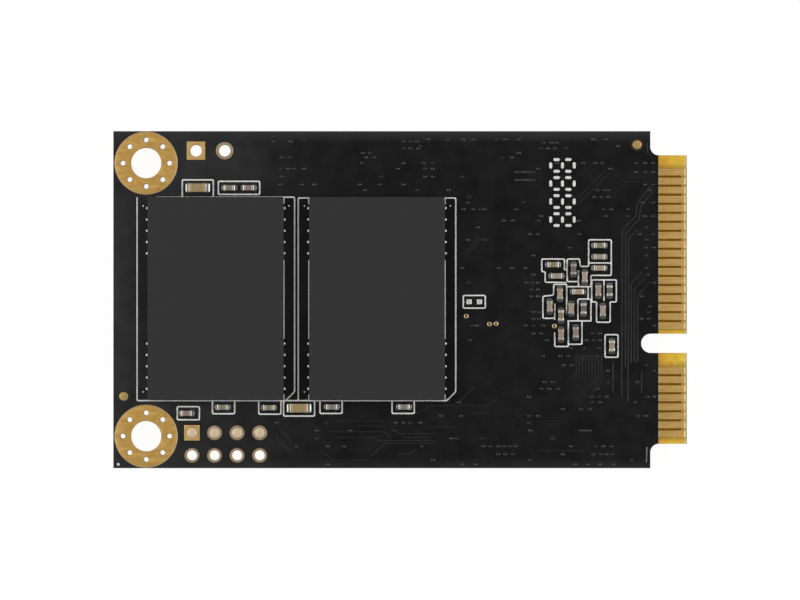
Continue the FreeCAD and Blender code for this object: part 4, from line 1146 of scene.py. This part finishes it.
wiring = {  # mm
    "width": 0.11, "low": 0.010, "high": 0.032,
    "deep": 0.028,             # tracks in bundles lie deeper and show less
    # a covered via: a collar of mask with a dimple in its middle, radius and height
    "viaProfile": [(0.19, 0.010), (0.10, 0.052), (0.08, 0.052), (0.03, 0.029)],
    "viaFaintest": 0.65, "viaSides": 12, "viaCrease": 15,
    "viaStep": 0.618,          # the golden section, so that neighbours differ in height
    # a via keeps this far from parts that stand higher than this on its face
    "clear": 0.4, "standing": 0.03,
    # a thin light line near the lower shoulder, a painted highlight: its path, then its width, lowest and
    # highest
    "glintLine": [(21.86, -13.05), (21.84, -13.7), (21.82, -14.45)], "glintForm": (0.10, 0.015, 0.026),
    # tracks under the mask on the top face
    "tracks": [
        [(22.15, 10.04), (21.00, 8.54), (20.86, 7.39), (19.67, 6.15), (19.62, -8.56)],
        [(22.41, 9.60), (21.31, 8.27), (21.17, 7.12), (19.98, 5.88), (19.95, -2.70), (19.95, -6.0)],
        [(21.00, 6.20), (20.25, 5.44), (20.18, -9.00)],
        [(21.39, 2.46), (20.47, 1.45), (20.47, -5.55)],
        [(21.70, 2.02), (20.75, 0.92), (20.75, -5.55)],
        [(22.15, 1.63), (21.03, 0.30), (21.03, -5.50)],
        [(18.25, 11.55), (15.86, 9.16)], [(18.60, 11.30), (15.68, 8.36)],
        [(18.67, 11.76), (19.87, 10.81), (21.26, 10.81)], [(18.70, 11.46), (19.84, 10.43), (21.26, 10.43)],
        [(5.64, 4.05), (6.97, 5.56)], [(5.90, 3.98), (7.20, 5.42)],
        [(18.86, -5.50), (18.86, -8.20)], [(21.39, -6.30), (21.39, -8.30)],
        [(5.64, -9.35), (7.79, -9.35), (8.42, -8.97)], [(6.10, -10.05), (7.80, -10.05)],
        [(5.26, -8.97), (6.65, -7.70)], [(12.10, -13.40), (16.27, -13.40)], [(6.50, -14.16), (8.40, -14.16)],
        [(-5.66, -10.74), (-1.45, -10.74)], [(-3.90, -11.19), (-1.20, -11.19)],
        [(-6.20, -11.69), (-1.45, -11.69), (-0.80, -12.27)],
        [(-6.00, -12.18), (-2.30, -12.18), (-1.95, -12.49), (2.95, -12.49)],
        [(-2.60, -13.90), (-1.80, -13.15), (-1.40, -12.71), (3.10, -12.71)],
        [(-0.20, -11.86), (3.25, -11.86)], [(2.30, -11.31), (4.95, -11.31)], [(0.20, -12.22), (2.60, -12.22)],
        [(-4.80, -13.28), (-2.60, -13.28)], [(-7.10, -13.28), (-6.00, -14.20), (-2.90, -14.20)],
        [(-10.80, -11.30), (-9.56, -12.64)], [(-11.07, -12.13), (-9.74, -13.40)],
        [(21.90, 13.95), (21.90, 12.95)],
        [(-0.31, -13.66), (0.95, -13.66), (1.46, -13.20)], [(1.40, -10.10), (2.70, -9.40), (6.20, -9.40)],
    ],
    # tracks side by side: corners of the first, then how far each corner moves from one track to the next
    "bundles": [
        {"corners": [(15.60, -4.90), (15.60, -6.40), (13.20, -8.80), (10.20, -8.80)],
         "moves": [(0.28, 0.0), (0.28, -0.12), (0.12, -0.28), (0.0, -0.28)], "count": 9},
        {"corners": [(5.60, -10.75), (10.60, -10.75)], "moves": [(0.10, -0.30), (-0.2, -0.30)], "count": 5},
    ],
    "underBundles": [
        {"corners": [(22.50, 11.61), (21.40, 11.61), (19.30, 9.51), (19.30, 5.60)],
         "moves": [(0.0, -0.8), (0.0, -0.8), (-0.42, -0.38), (-0.42, 0.0)], "count": 8},
        {"corners": [(22.50, 2.61), (21.10, 2.61)], "moves": [(0.0, -0.8), (0.0, -0.8)], "count": 6},
        {"corners": [(10.60, 3.60), (11.30, 3.60)], "moves": [(0.0, -1.8), (0.0, -1.8)], "count": 2},
        {"corners": [(12.40, -4.30), (12.40, -6.60), (9.60, -9.40), (-6.00, -9.40)],
         "moves": [(0.42, 0.0), (0.42, -0.17), (0.17, -0.42), (0.0, -0.42)], "count": 7},
        {"corners": [(11.20, -0.20), (6.20, -0.20), (4.00, 2.00), (-7.80, 2.00)],
         "moves": [(0.0, -0.42), (-0.17, -0.42), (-0.17, -0.42), (0.0, -0.42)], "count": 5},
    ],
    # covered vias, in rows of nearly one height: height, then places along X
    "viaRows": [
        (14.2, [-8.5, 2.5, 4.2, 5.6, 6.5, 8.5, 9.3, 10.5, 17.1, 18.2]), (14.0, [-11.2, -9.7, 0.3, 0.9, 1.5]),
        (13.9, [12.7, 13.4, 13.9]), (13.6, [1.8, 19.3]), (13.4, [0.3, 0.9, 1.6, 12.5, 13.1, 13.7, 14.7]),
        (13.0, [-3.3, -2.7, 10.5]), (12.6, [-10.5, -9.8, -3.0, -2.3, 9.1, 9.9]),
        (12.1, [-3.4, 0.3, 2.1, 2.9, 13.9, 16.2, 17.3, 17.9, 20.9, 21.7, 22.4]),
        (11.6, [-10.6, -9.9, -9.4, -8.5, -0.2, 2.2, 2.9, 12.2, 18.6]),
        (11.3, [10.3, 10.68, 11.06, 11.44, 11.82, 20.9, 21.7, 22.4]), (10.9, [-10.5, -1.7, 2.2, 2.9, 5.5]),
        (10.6, [10.3, 10.68, 11.06, 11.44, 11.82]), (10.2, [-10.6, -8.7, -7.6, -3.6, -1.8, 0.3, 21.7, 22.4]),
        (9.7, [-3.1, 1.5, 4.3, 17.5, 18.0, 18.4, 22.1]), (9.1, [6.1, 17.2, 17.8, 18.4]),
        (8.6, [6.0, 10.9, 21.5, 22.4]), (8.0, [5.6, 6.5, 7.1, 7.5, 10.3, 18.0, 18.7, 20.2]),
        (7.4, [12.5, 18.2, 20.2, 21.7, 22.4]), (7.0, [9.2, 10.0, 12.3, 15.8]), (6.4, [6.9, 21.8]),
        (5.8, [11.5, 12.2, 15.9, 21.2, 22.4]), (5.3, [6.0, 7.5, 21.8]), (4.6, [15.0, 21.8, 22.5]),
        (3.9, [11.8, 21.8]), (2.8, [5.5, 8.7, 9.9, 11.1, 21.8]), (2.2, [11.8, 21.9]),
        (1.5, [6.1, 11.2, 11.7, 12.2, 22.5]), (0.9, [11.6, 12.2]), (0.3, [11.6, 12.2, 21.4]), (-0.6, [22.1]),
        (-1.1, [11.8, 12.3, 22.0]), (-1.7, [11.8, 12.3, 21.4, 22.0]),
        (-2.3, [6.4, 6.8, 11.1, 11.8, 12.7, 22.5]), (-3.0, [11.8, 12.5, 17.0, 17.7]),
        (-3.6, [6.2, 13.0, 16.5, 17.1, 17.7]), (-4.3, [15.1, 16.3, 17.6]), (-5.0, [12.7, 14.2, 14.9, 17.5]),
        (-5.8, [14.5, 15.2, 21.8]), (-6.3, [18.4, 22.5]), (-7.3, [12.8, 13.5, 18.4, 21.0]),
        (-7.9, [12.5, 13.2, 14.0, 17.5]), (-8.6, [11.4, 17.0, 17.6, 18.3, 21.9, 22.5]),
        (-9.1, [5.2, 17.0, 17.7, 20.8]), (-9.7, [14.4, 16.0, 16.8]),
        (-10.3, [3.6, 5.4, 11.4, 12.2, 21.1, 21.8]), (-10.9, [-10.9, -6.6, -0.4, 0.3, 0.9, 1.8, 11.4]),
        (-11.6, [-7.4, -4.4, -0.5, 11.5, 16.0, 16.4, 16.8]), (-12.3, [-7.4, 4.5, 5.0, 7.3, 13.5]),
        (-13.0, [-9.2, -6.4, -5.0, 1.9, 7.4, 8.0, 8.7, 9.2, 9.7, 10.2, 15.1, 17.3, 18.0, 18.7]),
        (-13.7, [8.7, 9.3, 10.0, 14.4, 17.1, 17.8, 18.3, 18.8]), (-14.2, [2.9, 11.5, 20.5]),
        (-14.6, [-6.4, 5.5, 6.7, 15.5, 16.6, 17.7, 18.9]),
    ],
}

standing = ("capacitor", "resistor", "inductor", "regulator", "crystal", "land", "pads")
partBoxes = [nodeBox(name) for name in nodes if any(word in name for word in standing)]


def clearOf(spot, side):  # true when no part stands on this spot
    level, way = boardSides[side]
    for low, high in partBoxes:
        stands = way * ((high if side == "top" else low)[2] - level) > wiring["standing"]
        if stands and np.all(spot > low[:2] - wiring["clear"]) and np.all(spot < high[:2] + wiring["clear"]):
            return False
    return True


def coveredVias(name, side):
    # the collars differ in height: each one's share is the fraction left of its number times the step
    spots = [np.array((x, y)) for y, row in wiring["viaRows"] for x in row]
    least = wiring["viaFaintest"]
    shapes = []
    for number, spot in enumerate(spots):
        if clearOf(spot, side):
            share = least + (1 - least) * (number * wiring["viaStep"] % 1)
            shapes.append(turned(np.array(wiring["viaProfile"]) * (1.0, share), spot, wiring["viaSides"]))
    addPiece(name, onFace(side, shapes), [viaMask], (), wiring["viaCrease"])


def trackLines(name, paths, bundles, side):
    shapes = [ribbon(path, wiring["width"], wiring["low"], wiring["high"]) for path in paths]
    spread = [np.array(bundle["corners"]) + k * np.array(bundle["moves"])
              for bundle in bundles for k in range(bundle["count"])]
    deep = [ribbon(path, wiring["width"], wiring["low"], wiring["deep"]) for path in spread]
    addPiece(name, onFace(side, shapes, deep), [copperMask, deepMask], ())


trackLines("tracks_top", wiring["tracks"], wiring["bundles"], "top")
trackLines("tracks_under", [], wiring["underBundles"], "under")
coveredVias("vias_top", "top")
coveredVias("vias_under", "under")
# the shoulder's light line: painted highlight
addPiece("shoulder_painted_glint", onFace("top", [ribbon(wiring["glintLine"], *wiring["glintForm"])]), [shoulderGlintMask])
print("tracks and vias done")
